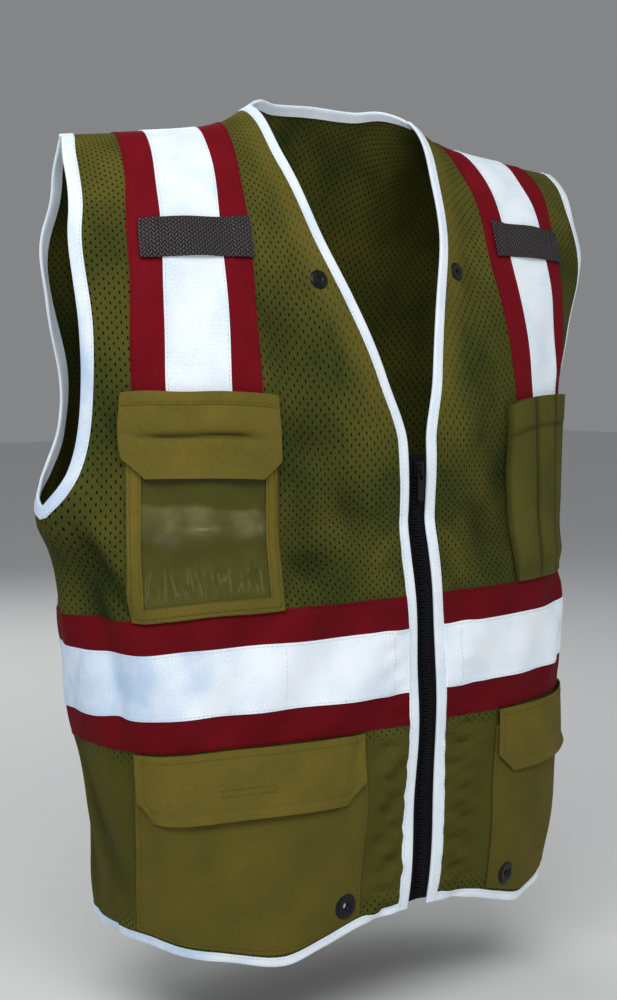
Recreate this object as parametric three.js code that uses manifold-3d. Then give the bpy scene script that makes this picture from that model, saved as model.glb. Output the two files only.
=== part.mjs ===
// Surveyor's safety vest in its worn form: a back panel and two front panels of mesh cloth, red trim with
// reflective tape over both shoulders and round the waist, bound edges, a front zip, pockets, microphone
// tabs and eyelets. Millimetres, +Z up. The vest faces -Y and the wearer's right is -X. The origin is
// midway between the shoulders, at the height of the side of the neck.
import * as THREE from "three";
import { mergeVertices } from "three/addons/utils/BufferGeometryUtils.js";
import Module from "manifold-3d";

const wasm = await Module();
wasm.setup();

// Cloth and trim
const GAP = 0.3;
const CLOTH = 1.2;
const TRIM = 1;
const SEAM = 0.4;
const RED_WIDTH = 101.6;
const TAPE_WIDTH = 50.8;
const BINDING_WIDTH = 11;
const BINDING_LIP = 2.5;
const BINDING_GAP = { outside: 0.9, lip: 0.9, edge: 0.3 };
const SIDE_GAP = 1.2;
const ARMHOLE_GAP = { outside: 1.7, lip: 2.8, edge: 0.7 };

// Heights of the body form
const ARCH_LEVEL = -318;
const RIDGE_Y = -5;
const BAND_LEVEL = -431.5;
const ARMHOLE_LEVEL = -312;
const ZIP_TOP_LEVEL = -272;
const SIDE_HEM_LEVEL = -634;

// Sections of the body form: half width, depth to the front and back, squareness and sideways sway
const SECTIONS = [
  { level: -665, width: 197, front: 124, back: 118, square: 2.9, sway: -8 },
  { level: -560, width: 214, front: 128, back: 121, square: 2.7, sway: -2 },
  { level: -431, width: 239, front: 127, back: 122, square: 2.4, sway: -1 },
  { level: -345, width: 250, front: 116, back: 112, square: 2.3, sway: -2 },
  { level: -318, width: 257, front: 108, back: 106, square: 2.3, sway: 1 },
  { level: -240, width: 264, front: 105, back: 102, square: 2.3, sway: 2 },
  { level: -135, width: 288, front: 104, back: 102, square: 2.3, sway: 0 },
  { level: -60, width: 276, front: 104, back: 102, square: 2.3, sway: 0 },
  { level: 0, width: 263, front: 104, back: 102, square: 2.3, sway: 0 },
];

// Shoulder line from the middle outwards: its height, and the bow of the arch from chest to shoulder
const RIDGE = [
  { x: 0, z: 34, bow: 1.58 },
  { x: 55, z: 20, bow: 1.58 },
  { x: 91, z: 0, bow: 1.6 },
  { x: 115, z: -12, bow: 1.7 },
  { x: 140, z: -18, bow: 1.82 },
  { x: 190, z: -24, bow: 1.9 },
  { x: 290, z: -34, bow: 1.95 },
];

// How far the cloth below the arms sags, by the angle round the body in degrees
const SAG = [
  { turn: 0, right: 0, left: 0 },
  { turn: 40, right: 3, left: 0 },
  { turn: 70, right: 9, left: -3 },
  { turn: 100, right: 9, left: -2 },
  { turn: 180, right: 0, left: 0 },
];
const SAG_TOP = -300;
const SAG_RUN = 70;

// Main folds: where each lies (degrees round the body, level), its half width and half height, how far it
// stands out, and how many degrees it leans for each millimetre of height
const FOLDS = [
  { sides: [-1, 1], turn: 0, level: -250, wide: 22, tall: 80, out: 8, lean: 0 },
  { sides: [-1, 1], turn: 92, level: -312, wide: 13, tall: 24, out: 17, lean: 0 },
  { sides: [-1], turn: 84, level: -365, wide: 6, tall: 38, out: -6, lean: 0.1 },
  { sides: [-1], turn: 72, level: -345, wide: 7, tall: 50, out: 4, lean: 0.12 },
  { sides: [-1], turn: 80, level: -432, wide: 5, tall: 60, out: -7, lean: 0 },
  { sides: [-1], turn: 85, level: -560, wide: 7, tall: 75, out: 8, lean: -0.05 },
  { sides: [-1], turn: 76, level: -555, wide: 6, tall: 60, out: -5, lean: -0.05 },
  { sides: [-1], turn: 32, level: -655, wide: 16, tall: 50, out: 7, lean: 0 },
  { sides: [1], turn: 62, level: -615, wide: 16, tall: 60, out: 5, lean: 0 },
  { sides: [1], turn: 78, level: -440, wide: 6, tall: 70, out: -6, lean: 0 },
  { sides: [1], turn: 66, level: -310, wide: 22, tall: 75, out: -12, lean: 0 },
  { sides: [1], turn: 80, level: -120, wide: 15, tall: 50, out: 9, lean: 0 },
  { sides: [-1], turn: 22, level: -330, wide: 6, tall: 45, out: -4, lean: 0.03 },
  { sides: [1], turn: 24, level: -320, wide: 6, tall: 45, out: -4, lean: -0.03 },
  { sides: [-1, 1], turn: 118, level: -520, wide: 9, tall: 110, out: -6, lean: 0 },
  { sides: [-1, 1], turn: 150, level: -540, wide: 10, tall: 120, out: 5, lean: 0 },
];

// Edges of the panels: front edge and neck, arm hole as distances from the side line, hem and back neck
const FRONT_EDGE = [
  { level: -680, across: 7.5 },
  { level: ZIP_TOP_LEVEL, across: 7.5 },
  { level: -235, across: 25 },
  { level: -194, across: 46 },
  { level: -149, across: 67 },
  { level: -85, across: 84 },
  { level: 0, across: 91 },
];
const ARMHOLE = [
  { level: ARMHOLE_LEVEL, front: 0, back: 0 },
  { level: -303, front: 14, back: 24 },
  { level: -290, front: 22, back: 48 },
  { level: -248, front: 31, back: 74 },
  { level: -191, front: 38, back: 58 },
  { level: -134, front: 41, back: 55 },
  { level: -60, front: 22, back: 30 },
  { level: 0, front: 8, back: 8 },
];
const HEM = [
  { across: 0, level: -630 },
  { across: 56, level: -635 },
  { across: 95, level: -645 },
  { across: 132, level: -653 },
  { across: 185, level: -645 },
  { across: 246, level: -637 },
  { across: 310, level: -634 },
];
const NECK_HALF = 91;
const BACK_NECK = [
  { across: 0, level: -64 },
  { across: 43, level: -52 },
  { across: 72, level: -25 },
  { across: NECK_HALF, level: -SEAM },
];
const BACK_NECK_BASE = -170;
const STRIPE_CENTRE = [
  { level: -665, front: 191, back: 158 },
  { level: -248, front: 191, back: 158 },
  { level: -165, front: 185, back: 167 },
  { level: 0, front: 184, back: 184 },
];

// Rows of cloth from above the hem to the shoulder seam
const BAND_ROWS = [-RED_WIDTH, -TAPE_WIDTH, TAPE_WIDTH, RED_WIDTH].map((width) => BAND_LEVEL + width / 2);
const LOWER_ROWS = [-600, -560, -520, ...BAND_ROWS, -346, ARMHOLE_LEVEL];
const UPPER_ROWS = [-303, -290, ZIP_TOP_LEVEL, -248, -215, -180, -145, -110, -75, -40, -SEAM];
const ROWS = [...LOWER_ROWS, ...UPPER_ROWS];
const BAND_TOP_ROW = 1 + ROWS.indexOf(BAND_ROWS.at(-1));
const BAND_BOTTOM_ROW = 1 + ROWS.indexOf(BAND_ROWS[0]);
const ARMHOLE_ROW = 1 + ROWS.indexOf(ARMHOLE_LEVEL);
const ZIP_TOP_ROW = 1 + ROWS.indexOf(ZIP_TOP_LEVEL);

// Smooth value of one column of a table, read at a place along another column
function smooth(table, key, name, at) {
  const last = table.length - 1;
  const place = Math.min(Math.max(at, table[0][key]), table[last][key]);
  let i = 0;
  while (i < last - 1 && place >= table[i + 1][key]) i += 1;
  const rise = (k) => (table[k + 1][name] - table[k][name]) / (table[k + 1][key] - table[k][key]);
  const slope = (k) => {
    if (k === 0) return rise(0);
    if (k === last) return rise(last - 1);
    const product = rise(k) * rise(k - 1);
    return product > 0 ? (2 * product) / (rise(k) + rise(k - 1)) : 0;
  };
  const span = table[i + 1][key] - table[i][key];
  const u = (place - table[i][key]) / span;
  const eased = 3 * u ** 2 - 2 * u ** 3;
  const leaving = slope(i) * span * (u ** 3 - 2 * u ** 2 + u);
  const arriving = slope(i + 1) * span * (u ** 3 - u ** 2);
  return table[i][name] * (1 - eased) + table[i + 1][name] * eased + leaving + arriving;
}

// A point of the body form, without folds: turn runs from 0 at the centre front to PI at the centre back
function formPoint(side, turn, level) {
  const section = (name) => smooth(SECTIONS, "level", name, level);
  const power = 2 / section("square");
  const x = section("width") * Math.abs(Math.sin(turn)) ** power;
  const depth = Math.cos(turn) > 0 ? -section("front") : section("back");
  let y = depth * Math.abs(Math.cos(turn)) ** power;
  let z = level;
  if (level > ARCH_LEVEL) {
    const arch = (Math.min(level, 0) / ARCH_LEVEL - 1) * (-Math.PI / 2);
    const bow = 2 / smooth(RIDGE, "x", "bow", x);
    y = RIDGE_Y + (y - RIDGE_Y) * Math.cos(arch) ** bow;
    z = ARCH_LEVEL + (smooth(RIDGE, "x", "z", x) - ARCH_LEVEL) * Math.sin(arch) ** bow;
  }
  const sag = smooth(SAG, "turn", side < 0 ? "right" : "left", THREE.MathUtils.radToDeg(turn));
  z -= sag * THREE.MathUtils.clamp((SAG_TOP - level) / SAG_RUN, 0, 1);
  return new THREE.Vector3(side * x + section("sway"), y, z);
}

// One row round a quarter of the body: angles and distances from the centre line to the side line
const rowCache = new Map();
function bodyRow(side, face, level) {
  const key = `${side} ${face} ${level.toFixed(3)}`;
  if (rowCache.has(key)) return rowCache.get(key);
  const steps = 120;
  const turns = [];
  const lengths = [0];
  let before = null;
  for (let k = 0; k <= steps; k += 1) {
    const quarter = (k / steps) ** 0.8 * (Math.PI / 2);
    turns.push(face === "front" ? quarter : Math.PI - quarter);
    const point = formPoint(side, turns[k], level);
    if (before) lengths.push(lengths[k - 1] + point.distanceTo(before));
    before = point;
  }
  const row = { turns, lengths, total: lengths[steps] };
  rowCache.set(key, row);
  return row;
}

function turnAt(side, face, across, level) {
  const { turns, lengths, total } = bodyRow(side, face, level);
  const place = Math.min(Math.max(across, 0), total);
  let k = 1;
  while (k < lengths.length - 1 && lengths[k] < place) k += 1;
  const part = (place - lengths[k - 1]) / (lengths[k] - lengths[k - 1]);
  return turns[k - 1] + part * (turns[k] - turns[k - 1]);
}

// Outward direction of the form, or of the folded cloth, from two steps along it
function outward(side, turn, level, at) {
  const step = { turn: 0.01, level: 2 };
  const top = Math.min(level + step.level, -SEAM);
  const ahead = at(side, Math.min(turn + step.turn, Math.PI), level);
  const round = ahead.sub(at(side, Math.max(turn - step.turn, 0), level));
  const up = at(side, turn, top).sub(at(side, turn, top - 2 * step.level));
  return round.cross(up).normalize().multiplyScalar(side);
}

function foldedPoint(side, turn, level) {
  const degrees = THREE.MathUtils.radToDeg(turn);
  let out = 0;
  for (const fold of FOLDS) {
    if (!fold.sides.includes(side)) continue;
    const rise = level - fold.level;
    const away = (degrees - fold.turn - fold.lean * rise) / fold.wide;
    out += fold.out * Math.exp(-(away ** 2) - (rise / fold.tall) ** 2);
  }
  return formPoint(side, turn, level).addScaledVector(outward(side, turn, level, formPoint), out);
}

// A spot of the cloth: its place and outward direction, a distance across from the centre line of its face
function spot(side, face, across, level) {
  const turn = turnAt(side, face, across, level);
  return { at: foldedPoint(side, turn, level), out: outward(side, turn, level, foldedPoint) };
}

// The same, by the distance from the side line: negative on the front and positive on the back
function sideSpot(side, fromSide, level) {
  const face = fromSide < 0 ? "front" : "back";
  return spot(side, face, bodyRow(side, face, level).total - Math.abs(fromSide), level);
}

// Places of the columns of cloth in one row
const COLUMN = { bound: 1, redIn: 4, tapeIn: 5, tapeOut: 6, redOut: 7, side: 9 };
const BACK_COLUMN = { neck: 3, redIn: 4, redOut: 7, side: 9 };
const between = (from, to, part) => from + (to - from) * part;

function sideEnd(side, face, level) {
  const setback = level > ARMHOLE_LEVEL ? smooth(ARMHOLE, "level", face, level) : 0;
  return bodyRow(side, face, level).total - Math.max(setback, SEAM / 2);
}

function stripeColumns(face, level) {
  const centre = smooth(STRIPE_CENTRE, "level", face, level);
  return [-RED_WIDTH, -TAPE_WIDTH, TAPE_WIDTH, RED_WIDTH].map((width) => centre + width / 2);
}

function frontColumns(side, level) {
  const edge = smooth(FRONT_EDGE, "level", "across", level);
  const bound = edge + BINDING_WIDTH + GAP;
  const stripe = stripeColumns("front", level);
  const end = sideEnd(side, "front", level);
  const inner = [1 / 3, 2 / 3].map((part) => between(bound, stripe[0], part));
  return [edge, bound, ...inner, ...stripe, between(stripe[3], end, 0.5), end];
}

function backColumns(side, level) {
  const stripe = stripeColumns("back", level);
  const end = sideEnd(side, "back", level);
  const inner = [0, 1 / 3, 2 / 3, 1].map((part) => part * Math.min(NECK_HALF, stripe[0] - BINDING_WIDTH));
  return [...inner, ...stripe, between(stripe[3], end, 0.5), end];
}

function frontGrid(side) {
  const hemRow = frontColumns(side, SIDE_HEM_LEVEL).map((across) => {
    return spot(side, "front", across, smooth(HEM, "across", "level", across));
  });
  const row = (level) => frontColumns(side, level).map((across) => spot(side, "front", across, level));
  return [hemRow, ...ROWS.map(row)];
}

// The back's upper rows bend down between the sides of the neck
function backLevel(across, level) {
  if (across >= NECK_HALF || level < BACK_NECK_BASE) return level;
  const top = smooth(BACK_NECK, "across", "level", across);
  return between(BACK_NECK_BASE, top, (level - BACK_NECK_BASE) / (-SEAM - BACK_NECK_BASE));
}

function backRow(level) {
  const place = (side) => (across) => spot(side, "back", across, backLevel(across, level));
  const half = (side) => backColumns(side, level).map(place(side));
  const [right, left] = [half(-1), half(1)];
  return [...right.reverse(), ...left.slice(1)];
}

// A closed body from points and triangles, turned so that its faces point out
function closedBody(geometry) {
  const loose = geometry.index ? geometry.toNonIndexed() : geometry;
  loose.deleteAttribute("normal");
  loose.deleteAttribute("uv");
  const body = mergeVertices(loose, 1e-4);
  const index = body.index.array;
  const corner = (k) => new THREE.Vector3().fromBufferAttribute(body.attributes.position, index[k]);
  let volume = 0;
  for (let k = 0; k < index.length; k += 3) volume += corner(k).dot(corner(k + 1).cross(corner(k + 2)));
  if (volume < 0) index.reverse();
  body.computeVertexNormals();
  return body;
}

function meshBody(points, index) {
  const geometry = new THREE.BufferGeometry();
  geometry.setAttribute("position", new THREE.Float32BufferAttribute(points, 3));
  geometry.setIndex(index);
  return closedBody(geometry);
}

// Cuts and joins of closed bodies
function solidOf(body) {
  const vertProperties = new Float32Array(body.attributes.position.array);
  const triVerts = new Uint32Array(body.index.array);
  return new wasm.Manifold(new wasm.Mesh({ numProp: 3, vertProperties, triVerts }));
}

function bodyOf(solid) {
  const mesh = solid.getMesh();
  return meshBody(Array.from(mesh.vertProperties), Array.from(mesh.triVerts));
}

function cutFrom(body, ...tools) {
  return bodyOf(tools.map(solidOf).reduce((solid, tool) => solid.subtract(tool), solidOf(body)));
}

function joined(...bodies) {
  return bodyOf(bodies.map(solidOf).reduce((solid, other) => solid.add(other)));
}

// A wall of cloth over a grid of spots, between two heights above the cloth line; keep leaves cells out.
// Each cell is split along its shorter diagonal, so that walls laid over each other have the same facets
function wall(grid, low, high, keep = () => true) {
  const rows = grid.length;
  const columns = grid[0].length;
  const points = [];
  for (const height of [low, high]) {
    for (let i = 0; i < rows; i += 1) {
      for (let j = 0; j < columns; j += 1) {
        const lift = typeof height === "function" ? height(i, j) : height;
        points.push(...grid[i][j].at.clone().addScaledVector(grid[i][j].out, lift).toArray());
      }
    }
  }
  const kept = (i, j) => i >= 0 && j >= 0 && i < rows - 1 && j < columns - 1 && keep(i, j);
  const id = (layer, i, j) => (layer * rows + i) * columns + j;
  const index = [];
  const quad = (a, b, c, d) => index.push(a, b, c, a, c, d);
  const cell = (a, b, c, d, slanted) => (slanted ? quad(b, c, d, a) : quad(a, b, c, d));
  for (let i = 0; i < rows - 1; i += 1) {
    for (let j = 0; j < columns - 1; j += 1) {
      if (!kept(i, j)) continue;
      const rising = grid[i][j].at.distanceTo(grid[i + 1][j + 1].at);
      const slanted = grid[i][j + 1].at.distanceTo(grid[i + 1][j].at) < rising;
      cell(id(1, i, j), id(1, i, j + 1), id(1, i + 1, j + 1), id(1, i + 1, j), slanted);
      cell(id(0, i, j), id(0, i + 1, j), id(0, i + 1, j + 1), id(0, i, j + 1), slanted);
      if (!kept(i - 1, j)) quad(id(0, i, j), id(0, i, j + 1), id(1, i, j + 1), id(1, i, j));
      if (!kept(i + 1, j)) quad(id(0, i + 1, j + 1), id(0, i + 1, j), id(1, i + 1, j), id(1, i + 1, j + 1));
      if (!kept(i, j - 1)) quad(id(0, i + 1, j), id(0, i, j), id(1, i, j), id(1, i + 1, j));
      if (!kept(i, j + 1)) quad(id(0, i, j + 1), id(0, i + 1, j + 1), id(1, i + 1, j + 1), id(1, i, j + 1));
    }
  }
  return meshBody(points, index);
}

// The part of a grid between two rows and two columns, both counted in
function part(grid, rows, columns) {
  return grid.slice(rows[0], rows[1] + 1).map((row) => row.slice(columns[0], columns[1] + 1));
}

// Edge binding: a tape folded over the edge of the cloth, along a path of places on a chart of the cloth.
// inward is 1 where the cloth lies to the left of the path, and -1 where it lies to the right
function binding(chart, path, inward, { closed = false, gap = BINDING_GAP } = {}) {
  const count = path.length;
  const points = [];
  path.forEach((place, k) => {
    const after = path[Math.min(k + 1, count - 1)];
    const before = path[Math.max(k - 1, 0)];
    const along = new THREE.Vector2(after.u - before.u, after.level - before.level).normalize();
    const turned = new THREE.Vector2(-along.y, along.x).multiplyScalar(inward);
    const inside = (reach) => chart(place.u + turned.x * reach, place.level + turned.y * reach);
    const [edge, lip, inner] = [inside(0), inside(BINDING_LIP), inside(BINDING_WIDTH)];
    const away = edge.at.clone().sub(lip.at).normalize();
    const corner = (from, reach, lift) => {
      const point = from.at.clone().addScaledVector(from.out, lift).addScaledVector(away, reach);
      points.push(...point.toArray());
    };
    const top = CLOTH + gap.outside;
    corner(inner, 0, top + TRIM);
    corner(edge, gap.edge + TRIM, top + TRIM);
    corner(edge, gap.edge + TRIM, -gap.lip - TRIM);
    corner(lip, 0, -gap.lip - TRIM);
    corner(lip, 0, -gap.lip);
    corner(edge, gap.edge, -gap.lip);
    corner(edge, gap.edge, top);
    corner(inner, 0, top);
  });
  const sides = 8;
  const index = [];
  const quad = (a, b, c, d) => index.push(a, b, c, a, c, d);
  for (let k = 0; k < (closed ? count : count - 1); k += 1) {
    for (let j = 0; j < sides; j += 1) {
      const [here, next] = [k * sides, ((k + 1) % count) * sides];
      quad(here + j, here + ((j + 1) % sides), next + ((j + 1) % sides), next + j);
    }
  }
  if (!closed) {
    const end = (count - 1) * sides;
    for (const [a, b, c, d] of [[0, 1, 6, 7], [1, 2, 5, 6], [2, 3, 4, 5]]) {
      quad(d, c, b, a);
      quad(end + a, end + b, end + c, end + d);
    }
  }
  return meshBody(points, index);
}

const backChart = (u, level) => spot(u < 0 ? -1 : 1, "back", Math.abs(u), level);

function frontBinding(side) {
  const across = (level) => smooth(FRONT_EDGE, "level", "across", level);
  const bottom = smooth(HEM, "across", "level", across(SIDE_HEM_LEVEL)) - BINDING_GAP.edge - TRIM;
  const path = [bottom, ...ROWS].map((level) => ({ u: across(level), level }));
  return binding((u, level) => spot(side, "front", u, level), path, -1);
}

function hemBindingFront(side) {
  const columns = frontColumns(side, SIDE_HEM_LEVEL).slice(COLUMN.bound);
  const end = columns.at(-1) - SIDE_GAP;
  const path = columns.map((place) => {
    const u = Math.min(place, end);
    return { u, level: smooth(HEM, "across", "level", u) };
  });
  return binding((u, level) => spot(side, "front", u, level), path, 1);
}

// Places along the back, from the right to the left, at the panel's own columns
function backPlaces(level, columns) {
  const half = (side) => backColumns(side, level).slice(0, columns + 1).map((across) => side * across);
  return [...half(-1).reverse(), ...half(1).slice(1)];
}

function hemBindingBack() {
  const places = backPlaces(SIDE_HEM_LEVEL, BACK_COLUMN.side);
  const [start, end] = [places[0] + SIDE_GAP, places.at(-1) - SIDE_GAP];
  const path = places.map((place) => ({ u: Math.min(Math.max(place, start), end), level: SIDE_HEM_LEVEL }));
  return binding(backChart, path, 1);
}

function neckBinding() {
  const ends = NECK_HALF - BINDING_LIP;
  const path = backPlaces(-SEAM, BACK_COLUMN.neck).map((place) => {
    const u = Math.min(Math.max(place, -ends), ends);
    return { u, level: smooth(BACK_NECK, "across", "level", Math.abs(u)) };
  });
  return binding(backChart, path, -1);
}

function armholeBinding(side) {
  const levels = ROWS.slice(ARMHOLE_ROW);
  const place = (face, sign) => (level) => ({ u: sign * smooth(ARMHOLE, "level", face, level), level });
  const down = [...levels].reverse().map(place("front", -1));
  const up = levels.map(place("back", 1));
  const path = [...down, { u: 0, level: ARMHOLE_LEVEL }, ...up];
  return binding((u, level) => sideSpot(side, u, level), path, -1, { closed: true, gap: ARMHOLE_GAP });
}

// A patch of cloth on the front: columns from near to far, rows from top to bottom, its foot's corners cut
function patch(side, { near, far, top, bottom }, across, down, cut = { wide: 0, tall: 0 }) {
  const foot = typeof bottom === "function" ? bottom : () => bottom;
  return down.map((b) => {
    const rise = (1 - b) * (top - foot(near));
    const shrink = cut.tall ? Math.max(0, 1 - rise / cut.tall) * cut.wide : 0;
    return across.map((a) => {
      const place = between(near + shrink, far - shrink, a);
      const level = between(top, foot(place), b);
      return { ...spot(side, "front", place, level), across: place, level };
    });
  });
}

const even = (count) => Array.from({ length: count + 1 }, (_, k) => k / count);

// Heights of the layers above the cloth line
const RED = { low: CLOTH + GAP, high: CLOTH + GAP + TRIM };
const TAPE = { low: RED.high + GAP, high: RED.high + GAP + TRIM };
const TAB_LOW = TAPE.high + 2 * GAP;
const WEBBING = 1.4;
const TAB_BOW = 3;
const TAB_STITCHED = 0.1;
const TAB_HALF = { across: 49, level: 14 };
const TAB_LEVEL = { right: -148, left: -140 };

// Chest pockets
const ID_POCKET = { near: 132, far: 248, top: -245, bottom: -382 };
const ID_FRAME = 10;
const ID_FLAP_HEIGHT = 46;
const FLAP_CUT = { wide: 16, tall: 10 };
const VINYL = 0.6;
const ID_BACKING = { low: TAB_LOW + 2 * GAP, high: TAB_LOW + 2 * GAP + TRIM };
const ID_WINDOW = { low: ID_BACKING.high + GAP, high: ID_BACKING.high + GAP + VINYL };
const ID_BORDER = { low: ID_WINDOW.high + GAP, high: ID_WINDOW.high + GAP + TRIM };
const ID_FLAP = { low: ID_BORDER.high + GAP, high: ID_BORDER.high + GAP + CLOTH };
const PEN_POCKET = { near: 115, far: 233, top: -250, bottom: -381 };
const PEN_HEM = 14;
const PEN_PLEATS = 3;
const PEN_LIFT = 1.8;

// Lower pockets
const LOWER_POCKET = { right: { near: 62, far: 254 }, left: { near: 80, far: 268 } };
const LOWER_TOP = -496;
const LOWER_FOOT = 14;
const LOWER_BULGE = 2.4;
const POCKET_GAP = 1.3;
const FLAP_GAP = 3.2;
const LOWER_FLAP = { top: -486, bottom: -537 };
const LOWER_CUT = { wide: 18, tall: 13 };
const FLAP_RISE = 14;

function pocketLift(a, b) {
  const round = 1 - Math.abs(2 * a - 1) ** 4;
  const drop = (1 - b ** 4) * (0.45 + 0.55 * Math.sin(Math.PI * b));
  return CLOTH + POCKET_GAP + LOWER_BULGE * round * drop;
}

// Zip: two tapes behind the front edges, a closed chain, and a slider with a hinged pull
const ZIP_TAPE_HIGH = -BINDING_GAP.lip - TRIM - GAP;
const ZIP_TAPE = { near: 1.6, far: 17, low: ZIP_TAPE_HIGH - TRIM, high: ZIP_TAPE_HIGH };
const CHAIN = { half: 3.2, low: -1.3, high: 1 };
const SLIDER_LEVEL = -285;
const CHAIN_TOP_LEVEL = SLIDER_LEVEL - 4;
const SLIDER = { half: 4.5, length: 12, plate: 1.6, front: 1.4, rear: -4.4, post: 1.1 };
const BRIDGE = { half: 1.2, length: 9, leg: 1.5, room: 2.6, bar: 1 };
const PULL = { half: 3.2, thick: 1.6, length: 24, window: 7, arm: 1.5, drop: 1.7 };

function zipTape(side) {
  const levels = [smooth(HEM, "across", "level", 0), ...ROWS.slice(0, ZIP_TOP_ROW)];
  const columns = [ZIP_TAPE.near, ZIP_TAPE.far];
  const grid = levels.map((level) => columns.map((across) => spot(side, "front", across, level)));
  return wall(grid, ZIP_TAPE.low, ZIP_TAPE.high);
}

function zipChain() {
  const bottom = smooth(HEM, "across", "level", 0);
  const levels = [bottom, ...ROWS.filter((level) => level < CHAIN_TOP_LEVEL - 1), CHAIN_TOP_LEVEL];
  const grid = levels.map((level) => {
    const row = [-1, 1].map((side) => spot(side, "front", CHAIN.half, level));
    return [row[0], spot(1, "front", 0, level), row[1]];
  });
  return wall(grid, CHAIN.low, CHAIN.high);
}

// The slider's own frame: x across, y away from the cloth towards the wearer, z up
const sliderAt = spot(1, "front", 0, SLIDER_LEVEL).at;
function block(halfWidth, outFrom, outTo, bottom, top) {
  const box = new THREE.BoxGeometry(2 * halfWidth, outTo - outFrom, top - bottom);
  box.translate(sliderAt.x, sliderAt.y - (outFrom + outTo) / 2, sliderAt.z + (bottom + top) / 2);
  return closedBody(box);
}

const PLATE_TOP = SLIDER.front + SLIDER.plate;
const PULL_AXIS = { out: PLATE_TOP + BRIDGE.room / 2, z: -PULL.drop };

function zipSlider() {
  const half = SLIDER.length / 2;
  const bite = 0.2;
  const front = block(SLIDER.half, SLIDER.front, PLATE_TOP, -half, half);
  const rear = block(SLIDER.half, SLIDER.rear - SLIDER.plate, SLIDER.rear, -half, half);
  const post = block(SLIDER.post, SLIDER.rear - bite, SLIDER.front + bite, 1, half - 1);
  const reach = BRIDGE.length / 2;
  const barLow = PLATE_TOP + BRIDGE.room;
  const legs = [-1, 1].map((end) => {
    const [near, far] = [end * (reach - BRIDGE.leg), end * reach];
    return block(BRIDGE.half, PLATE_TOP - bite, barLow + bite, Math.min(near, far), Math.max(near, far));
  });
  const bar = block(BRIDGE.half, barLow, barLow + BRIDGE.bar, -reach, reach);
  return joined(front, rear, post, ...legs, bar);
}

function zipPull() {
  const { half, thick, length, window, arm } = PULL;
  const bar = thick / 2;
  const outline = new THREE.Shape();
  outline.moveTo(-half, bar).lineTo(-half, half - length);
  outline.absarc(0, half - length, half, Math.PI, 2 * Math.PI, false);
  outline.lineTo(half, bar);
  const hole = new THREE.Path();
  hole.moveTo(half - arm, -bar).lineTo(half - arm, -window);
  hole.lineTo(arm - half, -window).lineTo(arm - half, -bar);
  outline.holes.push(hole);
  const plate = new THREE.ExtrudeGeometry(outline, { depth: thick, bevelEnabled: false, curveSegments: 8 });
  plate.rotateX(Math.PI / 2);
  plate.translate(sliderAt.x, sliderAt.y - PULL_AXIS.out + bar, sliderAt.z + PULL_AXIS.z);
  return closedBody(plate);
}

// Eyelets: a ring with a flange on each side of the cloth, on a hole cut through it
const NECK_EYELET = { hole: 3.6, barrel: 4.6, flange: 7, setIn: 21, clear: 0.5 };
const NECK_EYELET_LEVEL = { right: -180, left: -172 };
const HEM_EYELET = { hole: 4, barrel: 5.4, flange: 10, rise: 23, clear: 1.4 };
const HEM_EYELET_INSET = { right: 15, left: 24 };
const EYELET_SIDES = 12;

function turnedTo(geometry, place) {
  const upright = new THREE.Vector3(0, 1, 0);
  geometry.applyQuaternion(new THREE.Quaternion().setFromUnitVectors(upright, place.out));
  geometry.translate(place.at.x, place.at.y, place.at.z);
  return closedBody(geometry);
}

function eyelet(place, size, stack) {
  const low = -size.clear;
  const high = stack + size.clear;
  const profile = [
    [size.hole, low - TRIM],
    [size.flange - TRIM, low - TRIM],
    [size.flange - TRIM, low],
    [size.barrel, low],
    [size.barrel, high],
    [size.flange, high],
    [size.flange - TRIM, high + TRIM],
    [size.hole, high + TRIM],
    [size.hole, low - TRIM],
  ].map(([x, y]) => new THREE.Vector2(x, y));
  return turnedTo(new THREE.LatheGeometry(profile, EYELET_SIDES), place);
}

function eyeletHole(place, size) {
  const depth = 60;
  const radius = size.barrel + GAP;
  return turnedTo(new THREE.CylinderGeometry(radius, radius, depth, EYELET_SIDES), place);
}

// Materials
const MATERIAL = {
  mesh: { color: 0x6b6420, roughness: 0.9 },
  pocket: { color: 0x7a6a22, roughness: 0.85 },
  red: { color: 0x7a0a14, roughness: 0.8 },
  tape: { color: 0xe6ebf2, roughness: 0.45 },
  binding: { color: 0xe3e9f2, roughness: 0.6 },
  webbing: { color: 0x3c3a3a, roughness: 0.8 },
  vinyl: { color: 0xb9b58c, roughness: 0.12, transparent: true, opacity: 0.35 },
  zip: { color: 0x101114, roughness: 0.75 },
  slider: { color: 0x17181b, roughness: 0.4, metalness: 0.8 },
  eyelet: { color: 0x0d0e10, roughness: 0.35, metalness: 0.8 },
};

const vest = new THREE.Group();
function add(name, body, material) {
  const mesh = new THREE.Mesh(body, new THREE.MeshStandardMaterial(MATERIAL[material]));
  mesh.name = name;
  vest.add(mesh);
}

// Back panel, with its band and its hem
const backHem = backRow(SIDE_HEM_LEVEL).map((_, k) => {
  const column = k - BACK_COLUMN.side;
  const side = column < 0 ? -1 : 1;
  const across = backColumns(side, SIDE_HEM_LEVEL)[Math.abs(column)];
  return spot(side, "back", across, SIDE_HEM_LEVEL);
});
const backGrid = [backHem, ...ROWS.map(backRow)];
const backColumnsAll = [0, backGrid[0].length - 1];
const bandRows = [BAND_BOTTOM_ROW, BAND_TOP_ROW];
const tapeRows = [BAND_BOTTOM_ROW + 1, BAND_TOP_ROW - 1];
add("back_panel", wall(backGrid, 0, CLOTH), "mesh");
add("neck_binding", neckBinding(), "binding");
add("hem_binding_back", hemBindingBack(), "binding");
add("waist_band_back", wall(part(backGrid, bandRows, backColumnsAll), RED.low, RED.high), "red");
add("waist_tape_back", wall(part(backGrid, tapeRows, backColumnsAll), TAPE.low, TAPE.high), "tape");

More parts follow.
